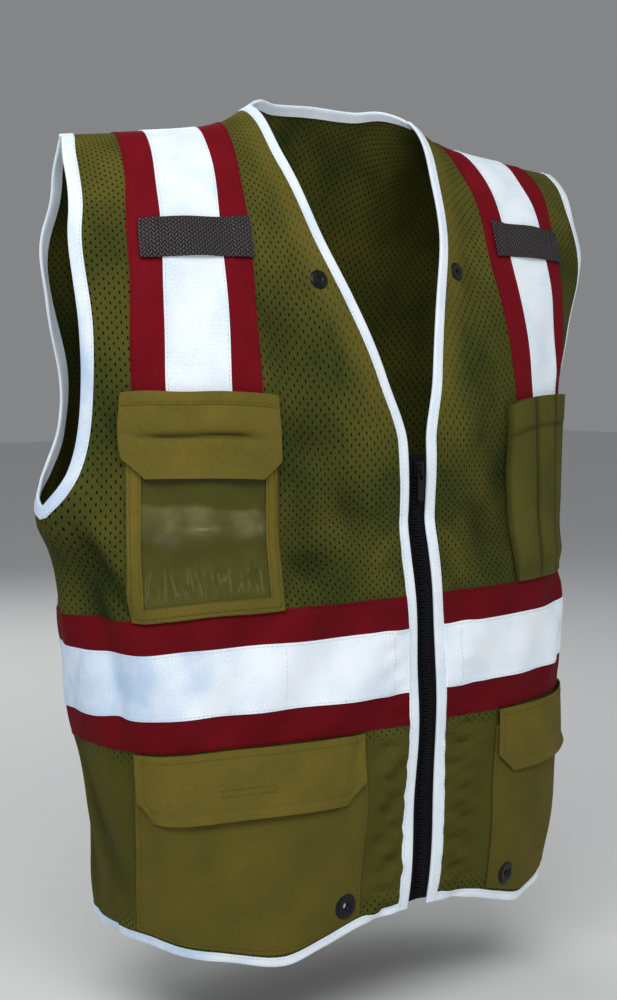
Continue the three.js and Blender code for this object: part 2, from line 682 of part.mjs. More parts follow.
for (const [side, name] of [[-1, "right"], [1, "left"]]) {
  const grid = frontGrid(side);
  const foot = (across) => smooth(HEM, "across", "level", across) + LOWER_FOOT;
  const pocketSize = { ...LOWER_POCKET[name], top: LOWER_TOP, bottom: foot };
  const onPocket = (across, level) => {
    const a = (across - pocketSize.near) / (pocketSize.far - pocketSize.near);
    const b = (level - LOWER_TOP) / (foot(across) - LOWER_TOP);
    return pocketLift(Math.min(Math.max(a, 0), 1), Math.min(Math.max(b, 0), 1));
  };

  // Eyelets and the holes that they sit in
  const neckLevel = NECK_EYELET_LEVEL[name];
  const neckAcross = smooth(FRONT_EDGE, "level", "across", neckLevel) + NECK_EYELET.setIn;
  const neckPlace = spot(side, "front", neckAcross, neckLevel);
  const hemAcross = pocketSize.near + HEM_EYELET_INSET[name];
  const hemLevel = smooth(HEM, "across", "level", hemAcross) + HEM_EYELET.rise;
  const hemPlace = spot(side, "front", hemAcross, hemLevel);
  const hemHole = eyeletHole(hemPlace, HEM_EYELET);
  add(`neck_grommet_${name}`, eyelet(neckPlace, NECK_EYELET, CLOTH), "eyelet");
  add(`hem_grommet_${name}`, eyelet(hemPlace, HEM_EYELET, onPocket(hemAcross, hemLevel) + CLOTH), "eyelet");

  const neckHole = eyeletHole(neckPlace, NECK_EYELET);
  add(`front_panel_${name}`, cutFrom(wall(grid, 0, CLOTH), neckHole, hemHole), "mesh");

  // Trim over the shoulder, from the front band to the back band
  const backHalf = backGrid.map((row) => {
    const half = side < 0 ? row.slice(0, BACK_COLUMN.side + 1).reverse() : row.slice(BACK_COLUMN.side);
    return half.slice(BACK_COLUMN.redIn, BACK_COLUMN.redOut + 1);
  });
  const frontHalf = grid.map((row) => row.slice(COLUMN.redIn, COLUMN.redOut + 1));
  const first = BAND_TOP_ROW;
  const ridge = stripeColumns("front", 0).map((across) => spot(side, "front", across, 0));
  const over = [...frontHalf.slice(first, -1), ridge, ...backHalf.slice(first, -1).reverse()];
  const raised = new THREE.Vector3(0, 0, GAP);
  const clearOfBand = (row) => row.map(({ at, out }) => ({ at: at.clone().add(raised), out }));
  const stripe = [clearOfBand(over[0]), ...over.slice(1, -1), clearOfBand(over.at(-1))];
  const tapeColumns = [COLUMN.tapeIn - COLUMN.redIn, COLUMN.tapeOut - COLUMN.redIn];
  const tape = part(stripe, [0, stripe.length - 1], tapeColumns);
  add(`shoulder_stripe_${name}`, wall(stripe, RED.low, RED.high), "red");
  add(`shoulder_tape_${name}`, wall(tape, TAPE.low, TAPE.high), "tape");

  // Waist band of the front
  const bandColumns = [COLUMN.bound, COLUMN.side];
  add(`waist_band_${name}`, wall(part(grid, bandRows, bandColumns), RED.low, RED.high), "red");
  add(`waist_tape_${name}`, wall(part(grid, tapeRows, bandColumns), TAPE.low, TAPE.high), "tape");

  // Bound edges
  add(`front_binding_${name}`, frontBinding(side), "binding");
  add(`hem_binding_${name}`, hemBindingFront(side), "binding");
  add(`armhole_binding_${name}`, armholeBinding(side), "binding");

  // Microphone tab: stitched down at its ends and bowed out between them
  const tabCentre = smooth(STRIPE_CENTRE, "level", "front", TAB_LEVEL[name]);
  const tabSize = {
    near: tabCentre - TAB_HALF.across,
    far: tabCentre + TAB_HALF.across,
    top: TAB_LEVEL[name] + TAB_HALF.level,
    bottom: TAB_LEVEL[name] - TAB_HALF.level,
  };
  const tabAcross = [0, 0.13, 0.2, 0.3, 0.5, 0.7, 0.8, 0.87, 1];
  const tabRise = (_, j) => {
    const free = THREE.MathUtils.smoothstep(tabAcross[j], TAB_STITCHED, 1 - TAB_STITCHED);
    return TAB_LOW + TAB_BOW * Math.sin(Math.PI * free);
  };
  const tabGrid = patch(side, tabSize, tabAcross, even(2));
  add(`mic_tab_${name}`, wall(tabGrid, tabRise, (i, j) => tabRise(i, j) + WEBBING), "webbing");

  // Lower pocket and its flap
  const [pocketAcross, pocketDown] = [even(8), [0, 0.2, 0.4, 0.6, 0.8, 1]];
  const pocketRise = (i, j) => pocketLift(pocketAcross[j], pocketDown[i]);
  const pocketGrid = patch(side, pocketSize, pocketAcross, pocketDown);
  const pocket = wall(pocketGrid, pocketRise, (i, j) => pocketRise(i, j) + CLOTH);
  add(`lower_pocket_${name}`, cutFrom(pocket, hemHole), "pocket");
  const flapSize = { ...LOWER_POCKET[name], ...LOWER_FLAP };
  const flapDown = [0, 0.14, 0.26, 0.5, 1 - LOWER_CUT.tall / (LOWER_FLAP.top - LOWER_FLAP.bottom), 1];
  const flapGrid = patch(side, flapSize, pocketAcross, flapDown, LOWER_CUT);
  const flapRise = (i, j) => {
    const { across, level } = flapGrid[i][j];
    const full = onPocket(across, level) + CLOTH + FLAP_GAP;
    const risen = THREE.MathUtils.smoothstep(LOWER_FLAP.top - level, 0, FLAP_RISE);
    return between(CLOTH + POCKET_GAP, full, risen);
  };
  add(`lower_flap_${name}`, wall(flapGrid, flapRise, (i, j) => flapRise(i, j) + CLOTH), "pocket");

  add(`zip_tape_${name}`, zipTape(side), "zip");
}

// Clear-window pocket on the right of the chest: backing, window, border and flap lie one on another
const idWidth = ID_POCKET.far - ID_POCKET.near;
const idHeight = ID_POCKET.top - ID_POCKET.bottom;
const rim = ID_FRAME / idWidth;
const idAcross = [0, rim, 0.25, 0.5, 0.75, 1 - rim, 1];
const idDown = [0, 0.15, 0.36, 0.52, 0.68, 0.82, 1 - ID_FRAME / idHeight, 1];
const idGrid = patch(-1, ID_POCKET, idAcross, idDown);
const onBorder = (i, j) => j === 0 || j === idAcross.length - 2 || i === idDown.length - 2;
add("id_pocket_backing", wall(idGrid, ID_BACKING.low, ID_BACKING.high), "pocket");
add("id_pocket_window", wall(idGrid, ID_WINDOW.low, ID_WINDOW.high), "vinyl");
add("id_pocket_frame", wall(idGrid, ID_BORDER.low, ID_BORDER.high, onBorder), "pocket");
const idFlap = { ...ID_POCKET, bottom: ID_POCKET.top - ID_FLAP_HEIGHT };
const idFlapDown = [0, 0.25, 0.5, 1 - FLAP_CUT.tall / ID_FLAP_HEIGHT, 1];
const idFlapGrid = patch(-1, idFlap, idAcross, idFlapDown, FLAP_CUT);
add("id_pocket_flap", wall(idFlapGrid, ID_FLAP.low + GAP, ID_FLAP.high + GAP), "pocket");

// Divided pen pocket on the left of the chest
const penGrid = patch(1, PEN_POCKET, even(6), even(6));
add("pen_pocket_backing", wall(penGrid, ID_BACKING.low, ID_BACKING.high), "pocket");
const penFront = { ...PEN_POCKET, top: PEN_POCKET.top - PEN_HEM };
const penAcross = even(4 * PEN_PLEATS);
const penRise = (_, j) => {
  const pleat = Math.abs(Math.sin(Math.PI * PEN_PLEATS * penAcross[j]));
  return ID_BACKING.high + POCKET_GAP + PEN_LIFT * pleat;
};
const penFrontGrid = patch(1, penFront, penAcross, even(6));
add("pen_pocket_front", wall(penFrontGrid, penRise, (i, j) => penRise(i, j) + CLOTH), "pocket");

add("zip_chain", zipChain(), "zip");
add("zip_slider", zipSlider(), "slider");
add("zip_pull", zipPull(), "slider");

export default vest;
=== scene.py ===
# %% [markdown]
# # A surveyor's safety vest, in the form that it has when worn
# The vest is sewn from three panels of olive mesh. Red trim with reflective tape runs over the shoulders
# and round the waist, and a folded tape binds every open edge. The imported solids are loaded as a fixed
# frame, and each soft solid is then replaced by finer cloth that is laid over the same body form.

# %% Load the frame
import math
from collections import namedtuple

import bpy
import numpy as np
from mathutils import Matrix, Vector


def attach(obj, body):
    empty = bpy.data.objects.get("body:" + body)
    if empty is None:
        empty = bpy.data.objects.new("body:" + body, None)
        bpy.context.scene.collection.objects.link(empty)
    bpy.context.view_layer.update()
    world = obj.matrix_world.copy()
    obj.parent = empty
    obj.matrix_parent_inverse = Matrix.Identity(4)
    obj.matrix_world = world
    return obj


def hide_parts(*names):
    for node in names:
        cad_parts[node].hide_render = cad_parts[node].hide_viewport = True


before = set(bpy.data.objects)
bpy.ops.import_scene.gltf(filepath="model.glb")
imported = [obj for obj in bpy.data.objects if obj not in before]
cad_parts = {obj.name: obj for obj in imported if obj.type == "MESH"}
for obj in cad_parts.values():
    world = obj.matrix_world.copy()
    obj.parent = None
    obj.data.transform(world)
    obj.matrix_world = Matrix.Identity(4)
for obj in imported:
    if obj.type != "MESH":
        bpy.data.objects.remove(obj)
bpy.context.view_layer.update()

# %% [markdown]
# ## The body form
# A worn vest takes its shape from the body inside it. The form is a stack of rounded sections, closed at the
# top by an arch from the chest over the shoulder line to the back. A place on the cloth is given by its
# side, its face, the distance across from the centre line of that face, and its level. Lengths are
# millimetres here, because that is how clothes are cut, and they become metres only when a mesh is made. The
# tables are the ones that the solids were made from, with some small folds added and a few edges moved by
# some millimetres, so the cloth lies where the solids lie.

# %% Tables of the form
MM = 0.001
TURN = 2 * math.pi
RIGHT, LEFT = -1, 1
BOTH = (RIGHT, LEFT)
FRONT, BACK = 0, 1
ARCH_LEVEL = -318
RIDGE_Y = -5
SEAM = 0.4


def table(columns, *rows):
    """A short table with named columns."""
    return {name: np.array(column, float) for name, column in zip(columns.split(), zip(*rows))}


SECTIONS = table(
    "level width front back square sway",
    (-665, 197, 124, 118, 2.9, -8),
    (-560, 214, 128, 121, 2.7, -2),
    (-431, 239, 127, 122, 2.4, -1),
    (-345, 250, 116, 112, 2.3, -2),
    (-318, 257, 108, 106, 2.3, 1),
    (-240, 264, 105, 102, 2.3, 2),
    (-135, 288, 104, 102, 2.3, 0),
    (-60, 276, 104, 102, 2.3, 0),
    (0, 263, 104, 102, 2.3, 0),
)
RIDGE = table(
    "x z bow",
    (0, 34, 1.58),
    (55, 20, 1.58),
    (91, 0, 1.6),
    (115, -12, 1.7),
    (140, -18, 1.82),
    (190, -24, 1.9),
    (290, -34, 1.95),
)
SAG = table("turn right left", (0, 0, 0), (40, 3, 0), (70, 9, -3), (100, 9, -2), (180, 0, 0))
SAG_TOP = -300
SAG_RUN = 70

Fold = namedtuple("Fold", "sides turn level wide tall out lean")
FOLDS = [
    Fold(BOTH, 0, -250, 22, 80, 8, 0),
    Fold(BOTH, 92, -312, 13, 24, 20, 0),
    Fold((RIGHT,), 84, -365, 6, 38, -6, 0.1),
    Fold((RIGHT,), 72, -345, 7, 50, 4, 0.12),
    Fold((RIGHT,), 80, -432, 5, 60, -7, 0),
    Fold((RIGHT,), 85, -560, 7, 75, 8, -0.05),
    Fold((RIGHT,), 76, -555, 6, 60, -5, -0.05),
    Fold((RIGHT,), 32, -655, 16, 50, 7, 0),
    Fold((LEFT,), 62, -615, 16, 60, 5, 0),
    Fold((LEFT,), 78, -440, 6, 70, -6, 0),
    Fold((LEFT,), 66, -310, 22, 75, -12, 0),
    Fold((LEFT,), 80, -120, 15, 50, 9, 0),
    Fold((RIGHT,), 22, -330, 6, 45, -4, 0.03),
    Fold((LEFT,), 24, -320, 6, 45, -4, -0.03),
    Fold(BOTH, 118, -520, 9, 110, -6, 0),
    Fold(BOTH, 150, -540, 10, 120, 5, 0),
    Fold((RIGHT,), 78, -338, 4.5, 26, -7, 0.12),
    Fold((RIGHT,), 71, -362, 4, 24, -6, 0.22),
    Fold((RIGHT,), 19, -262, 5, 13, -5, 0),
    Fold((RIGHT,), 12, -306, 3.5, 24, -6, 0.06),
    Fold((RIGHT,), 21, -351, 5, 11, -5.5, 0),
    Fold((RIGHT,), 22, -208, 5, 26, -4.5, 0),
    Fold((RIGHT,), 67, -266, 3, 15, -4, 0),
    Fold((RIGHT,), 94, -545, 4, 60, -5, 0.12),
    Fold((RIGHT,), 108, -560, 4, 70, -5, 0.08),
    Fold((LEFT,), 14, -330, 4, 26, -6, -0.05),
    Fold((LEFT,), 74, -240, 20, 60, -6, 0),
    Fold((LEFT,), 21, -290, 5, 20, -4.5, 0),
    Fold((LEFT,), 10, -262, 4, 16, 4.5, 0),
]
print("sections", len(SECTIONS["level"]), "folds", len(FOLDS))

# %% [markdown]
# ### From the tables to points
# A table has few rows, so it is read with a smooth curve through them that never overshoots. A point of the
# form comes from the section at its level, and above the chest also from the arch.

# %% Points of the form
STEP_TURN, STEP_LEVEL = 0.01, 2


def smooth(chart, key, name, at):
    """Smooth value of one column of a table, read at places along another column, with no overshoot."""
    x, y = chart[key], chart[name]
    rise = np.diff(y) / np.diff(x)
    product = rise[1:] * rise[:-1]
    total = np.where(product > 0, rise[1:] + rise[:-1], 1)
    slope = np.concatenate([rise[:1], np.where(product > 0, 2 * product / total, 0), rise[-1:]])
    place = np.clip(at, x[0], x[-1])
    i = np.clip(np.searchsorted(x, place, side="right") - 1, 0, len(x) - 2)
    span = x[i + 1] - x[i]
    u = (place - x[i]) / span
    eased = u * u * (3 - 2 * u)
    leaving = slope[i] * span * (u**3 - 2 * u**2 + u)
    arriving = slope[i + 1] * span * (u**3 - u**2)
    return y[i] * (1 - eased) + y[i + 1] * eased + leaving + arriving


def ease(at, start, end):
    """0 at start, 1 at end, smooth between them."""
    u = np.clip((at - start) / (end - start), 0, 1)
    return u * u * (3 - 2 * u)


def form_point(side, turn, level):
    """A point of the form without folds. turn runs from 0 at the centre front to pi at the centre back."""
    power = 2 / smooth(SECTIONS, "level", "square", level)
    x = smooth(SECTIONS, "level", "width", level) * np.abs(np.sin(turn)) ** power
    front = -smooth(SECTIONS, "level", "front", level)
    back = smooth(SECTIONS, "level", "back", level)
    y = np.where(np.cos(turn) > 0, front, back) * np.abs(np.cos(turn)) ** power
    arch = np.clip(1 - np.minimum(level, 0) / ARCH_LEVEL, 0, 1) * math.pi / 2
    bow = 2 / smooth(RIDGE, "x", "bow", x)
    above = level > ARCH_LEVEL
    y = np.where(above, RIDGE_Y + (y - RIDGE_Y) * np.maximum(np.cos(arch), 0) ** bow, y)
    height = smooth(RIDGE, "x", "z", x) - ARCH_LEVEL
    z = np.where(above, ARCH_LEVEL + height * np.sin(arch) ** bow, level)
    sag = smooth(SAG, "turn", "right" if side < 0 else "left", np.degrees(turn))
    z = z - sag * np.clip((SAG_TOP - level) / SAG_RUN, 0, 1)
    return np.stack([side * x + smooth(SECTIONS, "level", "sway", level), y, z], -1)


def outward(side, turn, level, at):
    """Outward direction of a surface, from short steps along it."""
    top = np.minimum(level + STEP_LEVEL, -SEAM)
    ahead = at(side, np.minimum(turn + STEP_TURN, math.pi), level)
    along = ahead - at(side, np.maximum(turn - STEP_TURN, 0), level)
    up = at(side, turn, top) - at(side, turn, top - 2 * STEP_LEVEL)
    normal = np.cross(along, up) * side
    return normal / np.linalg.norm(normal, axis=-1, keepdims=True)


# %% [markdown]
# ## Distances along the cloth
# A pattern is cut by length, so the angle round the form has to be found from a distance along it. The
# distances are summed once over a fine net of levels and angles. Reading that net forwards gives a distance
# and reading it backwards gives an angle, which is far quicker than a search at every vertex.

# %% Net of distances
LEVELS = np.linspace(-690, 0, 277)
LEVEL_STEP = LEVELS[1] - LEVELS[0]
QUARTER = np.linspace(0, 1, 161)
CROWD = 0.8
QUARTER_TURN = QUARTER**CROWD * math.pi / 2


def measured_net(side, face):
    turns = QUARTER_TURN if face == FRONT else math.pi - QUARTER_TURN
    points = form_point(side, turns[None, :], LEVELS[:, None] + 0 * turns[None, :])
    steps = np.linalg.norm(np.diff(points, axis=1), axis=-1)
    lengths = np.concatenate([np.zeros((len(LEVELS), 1)), np.cumsum(steps, axis=1)], axis=1)
    shares = np.array([np.interp(QUARTER * row[-1], row, turns) for row in lengths])
    return {"length": lengths, "turn": shares, "total": lengths[:, -1]}


NETS = {(side, face): measured_net(side, face) for side in BOTH for face in (FRONT, BACK)}


def read_net(net, level, share):
    """Value of a net between its levels and its shares of the way across."""
    row = np.clip((level - LEVELS[0]) / LEVEL_STEP, 0, len(LEVELS) - 1.001)
    i = row.astype(int)
    column = np.clip(share, 0, 1) * (len(QUARTER) - 1)
    j = np.minimum(column.astype(int), len(QUARTER) - 2)
    low = net[i, j] + (net[i, j + 1] - net[i, j]) * (column - j)
    high = net[i + 1, j] + (net[i + 1, j + 1] - net[i + 1, j]) * (column - j)
    return low + (high - low) * (row - i)


def reach(side, face, level):
    """Distance from the centre line of a face to the side line."""
    return np.interp(level, LEVELS, NETS[side, face]["total"])


def turn_at(side, face, across, level):
    return read_net(NETS[side, face]["turn"], level, across / reach(side, face, level))


def across_at(side, turn, level):
    """Distance from the nearer centre line, on the front and on the back."""
    share = np.clip(np.minimum(turn, math.pi - turn) / (math.pi / 2), 0, 1) ** (1 / CROWD)
    on_front = read_net(NETS[side, FRONT]["length"], level, share)
    return np.where(turn <= math.pi / 2, on_front, read_net(NETS[side, BACK]["length"], level, share))


print("chest from zip to side", round(float(reach(RIGHT, FRONT, -345))), "mm")

# %% [markdown]
# ## Folds and small wrinkles
# The main folds are the ones of the solids. Real cloth also has soft waves all over and short puckers
# beside a zip, because the zip's tape doesn't shrink with the cloth. They could be painted as bump, but
# then the edges and the tape would stay flat, so they move the surface itself. Every layer is laid over
# this one surface.

# %% Folded surface
rng = np.random.default_rng(7)
WAVE_COUNT = 9
WAVE_OUT = 0.55
WAVES = [
    (int(rng.integers(7, 22)), rng.choice([-1, 1]) * rng.uniform(60, 150), rng.uniform(0, TURN))
    for _ in range(WAVE_COUNT)
]
WAVE_FADE = (-20, -120)
PUCKER_LOW, PUCKER_HIGH = 2.0, 0.7
PUCKER_GROWS = (-470, -500)
PUCKER_TOP = (-270, -300)
PUCKER_START = 17
PUCKER_END = {RIGHT: 64, LEFT: 80}
PUCKER_SKEW = 0.7
Pucker = namedtuple("Pucker", "out slant tall")
PUCKERS = (Pucker(1.0, 0.4, 21), Pucker(0.6, -0.25, 12.7), Pucker(0.7, 1.1, 33))
Calm = namedtuple("Calm", "across half_across level half_level")
CALM = (Calm(190, 72, -314, 80), Calm(176, 104, -560, 92))
CALM_EDGE = 14
NARROW_FOLD = 8
DEEP_FOLD = 7
HEM_DRIFT = -4.0
DRIFT_LEVELS, DRIFT_TURNS = (-440, -640), (62, 8)


def wrinkles(side, turn, level):
    out = np.zeros_like(turn)
    for count, tall, phase in WAVES:
        out += WAVE_OUT * np.sin(count * side * turn + TURN * level / tall + phase)
    out *= ease(level, *WAVE_FADE)
    across = across_at(side, turn, level)
    for area in CALM:
        wide = ease(np.abs(across - area.across), area.half_across, area.half_across - CALM_EDGE)
        tall = ease(np.abs(level - area.level), area.half_level, area.half_level - CALM_EDGE)
        out *= 1 - wide * tall * (turn < math.pi / 2)
    away = np.clip((across - PUCKER_START) / (PUCKER_END[side] - PUCKER_START), 0, 1)
    near = np.sin(away**PUCKER_SKEW * math.pi) ** 2 * (turn < math.pi / 2)
    strength = PUCKER_HIGH + (PUCKER_LOW - PUCKER_HIGH) * ease(level, *PUCKER_GROWS)
    strength = strength * ease(level, *PUCKER_TOP)
    slow = 1.4 * np.sin(level / 37 + side)
    wave = np.zeros_like(turn)
    for pucker, phase in zip(PUCKERS, (slow, 2 * side, 3 * slow)):
        wave += pucker.out * np.sin(TURN * (level + pucker.slant * across) / pucker.tall + phase)
    return out + strength * near * wave


def fold_out(fold, turn, level):
    rise = level - fold.level
    away = (np.degrees(turn) - fold.turn - fold.lean * rise) / fold.wide
    return fold.out * np.exp(-(away**2) - (rise / fold.tall) ** 2)


def painted_shade(side, turn, level):
    """How deep a place lies in the folds, from 0 to 1. Less light gets into a fold, so this darkens the
    colour there as painted shade.
    """
    inward = [fold for fold in FOLDS if side in fold.sides and fold.out < 0]
    deep = sum(fold_out(fold, turn, level) for fold in inward if fold.wide < NARROW_FOLD)
    return np.clip(-deep / DEEP_FOLD, 0, 1)


def folded_point(side, turn, level):
    out = wrinkles(side, turn, level)
    for fold in FOLDS:
        if side in fold.sides:
            out = out + fold_out(fold, turn, level)
    point = form_point(side, turn, level) + out[..., None] * outward(side, turn, level, form_point)
    point[..., 0] += HEM_DRIFT * ease(level, *DRIFT_LEVELS) * ease(np.degrees(turn), *DRIFT_TURNS)
    return point


def cloth(side, face, across, level, lift=0.0):
    """Points at a height above the cloth line, and the outward directions there."""
    side, face, across, level, lift = np.broadcast_arrays(side, face, across, level, lift)
    points = np.empty(across.shape + (3,))
    normals = np.empty(across.shape + (3,))
    for s, f in NETS:
        pick = (side == s) & (face == f)
        if pick.any():
            turn = turn_at(s, f, across[pick].astype(float), level[pick].astype(float))
            normals[pick] = outward(s, turn, level[pick].astype(float), folded_point)
            points[pick] = folded_point(s, turn, level[pick].astype(float))
    return points + lift[..., None] * normals, normals


# %% [markdown]
# ## Edges of the panels
# The outline of each panel is a line in the same distances: the front edge runs up beside the zip and then
# out along the neck, the arm hole is set back from the side line, and the hem dips at the front.

# %% Edge lines
RED_WIDTH = 101.6
TAPE_WIDTH = 50.8
FRONT_LEG = 8.6
BAND_LEVEL = -431.5
ARMHOLE_LEVEL = -307
ZIP_TOP_LEVEL = -272
SIDE_HEM_LEVEL = -634
NECK_HALF = 91
FRONT_EDGE = table(
    "level across",
    (-680, 10.5),
    (ZIP_TOP_LEVEL, 10.5),
    (-235, 26),
    (-194, 46.5),
    (-149, 67),
    (-85, 84),
    (0, 91),
)
ARMHOLE = table(
    "level front back",
    (ARMHOLE_LEVEL, 0, 0),
    (-299, 9, 22),
    (-287, 16, 46),
    (-248, 26, 72),
    (-191, 34, 58),
    (-134, 36, 55),
    (-60, 18, 28),
    (0, 5, 3),
)
HEM = table(
    "across level",
    (0, -630),
    (56, -635),
    (95, -645),
    (132, -653),
    (185, -645),
    (246, -637),
    (310, -634),
)
BACK_NECK = table("across level", (0, -64), (43, -52), (72, -25), (NECK_HALF, -SEAM))
STRIPE_CENTRE = table(
    "level front back",
    (-665, 191, 158),
    (-248, 191, 158),
    (-165, 185, 167),
    (0, 174, 174),
)
FACE_NAMES = ("front", "back")
STRIPE_DRIFT = {RIGHT: 0.0, LEFT: -8.0}
STRIPE_DRIFTS = (-90, -170)


def between(start, end, part):
    return start + (end - start) * part


def front_edge(level):
    return smooth(FRONT_EDGE, "level", "across", level)


def hem_level(across):
    return smooth(HEM, "across", "level", across)


def setback(face, level):
    return np.where(level > ARMHOLE_LEVEL, smooth(ARMHOLE, "level", FACE_NAMES[face], level), 0)


def side_end(side, face, level):
    return reach(side, face, level) - setback(face, level)


def stripe_centre(side, face, level):
    drift = STRIPE_DRIFT[side] * ease(level, *STRIPE_DRIFTS) * (face == FRONT)
    return smooth(STRIPE_CENTRE, "level", FACE_NAMES[face], level) + drift


print("hem at the zip", float(hem_level(0.0)), "and lowest", float(HEM["level"].min()))

# %% [markdown]
# ## Shader maths
# A finish is worked out by small sums on places and noises. Writing them as Python expressions keeps them
# readable: a Value wraps a socket, its operators add Math nodes, and a Finish adds any other node by its
# name.

# %% Values and finishes
FLAT_MAP = "flat"


class Value:
    """One number of a shader, with the operators that add Math nodes."""

    def __init__(self, finish, socket):
        self.finish = finish
        self.socket = socket

    def __add__(self, other):
        return self.finish.math("ADD", self, other)

    def __sub__(self, other):
        return self.finish.math("SUBTRACT", self, other)

    def __rsub__(self, other):
        return self.finish.math("SUBTRACT", other, self)

    def __mul__(self, other):
        return self.finish.math("MULTIPLY", self, other)

    def __truediv__(self, other):
        return self.finish.math("DIVIDE", self, other)

    __radd__ = __add__
    __rmul__ = __mul__

    def to(self, operation, *others):
        return self.finish.math(operation, self, *others)

    def ramp(self, start, end):
        """0 at start, 1 at end, held outside them."""
        limits = {"From Min": start, "From Max": end}
        return self.finish.add("MapRange", {"clamp": True}, Value=self, **limits)

    def wave(self, pitch=TURN):
        """A sine wave with a length in the same unit."""
        scaled = self if pitch == TURN else self * (TURN / pitch)
        return scaled.to("SINE")

    def raised(self):
        """A wave from -1 to 1 becomes one from 0 to 1."""
        return self * 0.5 + 0.5


class Finish:
    """A material with one Principled shader, and the nodes that feed it."""

    def __init__(self, name, **constants):
        self.material = bpy.data.materials.new(name)
        self.material.use_nodes = True
        self.tree = self.material.node_tree
        self.shader = self.tree.nodes["Principled BSDF"]
        for socket, value in constants.items():
            self.shader.inputs[socket.replace("_", " ")].default_value = value

    def feed(self, socket, value):
        if isinstance(value, Value):
            self.tree.links.new(value.socket, socket)
        else:
            socket.default_value = value

    def add(self, kind, settings=None, output=0, **sockets):
        """A node of any kind: its settings are set first, then the values or links of its sockets."""
        node = self.tree.nodes.new("ShaderNode" + kind)
        for key, value in (settings or {}).items():
            setattr(node, key, value)
        for name, value in sockets.items():
            self.feed(node.inputs[name], value)
        return Value(self, node.outputs[output])

    def math(self, operation, *values):
        node = self.tree.nodes.new("ShaderNodeMath")
        node.operation = operation
        for socket, value in zip(node.inputs, values):
            self.feed(socket, value)
        return Value(self, node.outputs[0])

    def mix(self, factor, first, second):
        """A colour between two colours, each a tuple or a Value."""
        node = self.tree.nodes.new("ShaderNodeMix")
        node.data_type = "RGBA"
        factor_in, first_in, second_in = node.inputs[0], node.inputs[6], node.inputs[7]
        for socket, value in ((factor_in, factor), (first_in, first), (second_in, second)):
            self.feed(socket, (*value, 1) if isinstance(value, tuple) else value)
        return Value(self, node.outputs[2])

    def flat(self):
        """Places on the flat cloth, in millimetres: across it and along it."""
        place = self.add("UVMap", {"uv_map": FLAT_MAP})
        node = self.tree.nodes.new("ShaderNodeSeparateXYZ")
        self.tree.links.new(place.socket, node.inputs[0])
        return place, Value(self, node.outputs[0]) / MM, Value(self, node.outputs[1]) / MM

    def noise(self, place, size, detail=2.0):
        """Soft random value between 0 and 1, with patches of a size in millimetres."""
        return self.add("TexNoise", Vector=place, Scale=1 / (size * MM), Detail=detail)

    def set(self, **values):
        for socket, value in values.items():
            self.feed(self.shader.inputs[socket.replace("_", " ")], value)

    def attribute(self, name):
        """A number that is stored at each vertex of the cloth."""
        return self.add("Attribute", {"attribute_name": name}, output=2)

    def bump(self, height, strength, distance):
        """Relief from a height of 0 to 1, with its depth in millimetres."""
        self.set(Normal=self.add("Bump", Height=height, Strength=strength, Distance=distance * MM))


# %% [markdown]
# ## Mesh cloth
# The panels are a warp knit with oval holes in staggered rows. Seen on the worn vest the holes are dark.
# Cutting thousands of real holes would be heavy, and see-through holes would show the far panel, so each
# hole is a pit in the relief, painted near black in the colour as painted shade of the dim space behind it.
# Where another layer of cloth lies behind the mesh, the pits are faint: the attribute "backed" tells where
# that is. The colour is also darkened as painted shade in the deeper folds, and lightened as painted light
# towards the top of the front panels.

# %% Mesh finish
HOLE_PITCH = (7.1, 6.1)
HOLE_SIZE = (0.50, 0.82)
HOLE_EDGE = (2.0, 0.9)
WOBBLE_SIZE, WOBBLE = 30, 2.2
WALE_PITCH, COURSE_PITCH = 1.47, 1.85
MESH_LIGHT = (0.096, 0.094, 0.015)
MESH_SHADE = (0.034, 0.047, 0.008)
MESH_LOW = (0.086, 0.078, 0.013)
MESH_LAPEL_AND_LIT = (0.160, 0.130, 0.022)
MESH_GLINT = (0.100, 0.098, 0.020)
MESH_HOLE_SHADE = (0.002, 0.003, 0.001)
MESH_FOLD_SHADE = (0.010, 0.017, 0.003)


def mesh_finish():
    finish = Finish("mesh_cloth", Roughness=0.85, Specular_IOR_Level=0.08)
    place, across, along = finish.flat()
    wobble = (finish.noise(place, WOBBLE_SIZE) - 0.5) * WOBBLE
    rows = []
    for shift in (0, 0.5):
        x, y = (
            (((at + wobble) / pitch + shift).to("FRACT") - 0.5) * (pitch / size)
            for at, pitch, size in zip((across, along), HOLE_PITCH, HOLE_SIZE)
        )
        rows.append(x * x + y * y)
    hole = rows[0].to("MINIMUM", rows[1]).ramp(*HOLE_EDGE)
    backed = finish.attribute("backed")
    lapel = finish.attribute("lapel")
    pit = hole * (1 - backed * 0.85)
    patch = finish.noise(place, 60, 3).ramp(0.34, 0.66)
    colour = finish.mix(patch, MESH_SHADE, MESH_LIGHT)
    colour = finish.mix(backed * 0.75, colour, MESH_LOW)
    # Painted shade: darker in the deeper folds.
    colour = finish.mix(finish.attribute("painted_shade") * 0.8, colour, MESH_FOLD_SHADE)
    # Mustard where the facing backs the neck edge, and painted light towards the top of the front panels.
    colour = finish.mix(lapel * (0.45 + patch * 0.4), colour, MESH_LAPEL_AND_LIT)
    colour = finish.mix(finish.noise(place, 2.2, 1).ramp(0.3, 0.8) * 0.3, colour, MESH_GLINT)
    wales = across.wave(WALE_PITCH) * along.wave(COURSE_PITCH)
    # Painted shade: the holes are coloured near black for the dim space seen through them.
    finish.set(Base_Color=finish.mix(pit, colour, MESH_HOLE_SHADE))
    finish.bump((1 - pit) + wales * 0.12, 0.8, 0.6)
    return finish.material


MESH_CLOTH = mesh_finish()
print("finish", MESH_CLOTH.name)

# %% [markdown]
# ## Close-woven cloth, red trim and webbing
# The pockets are a plain weave, mustard where the light catches it. The trim is a tight red knit. The
# webbing of the tabs shows a herringbone: short pale floats that lean one way and then the other, between
# dark gaps.

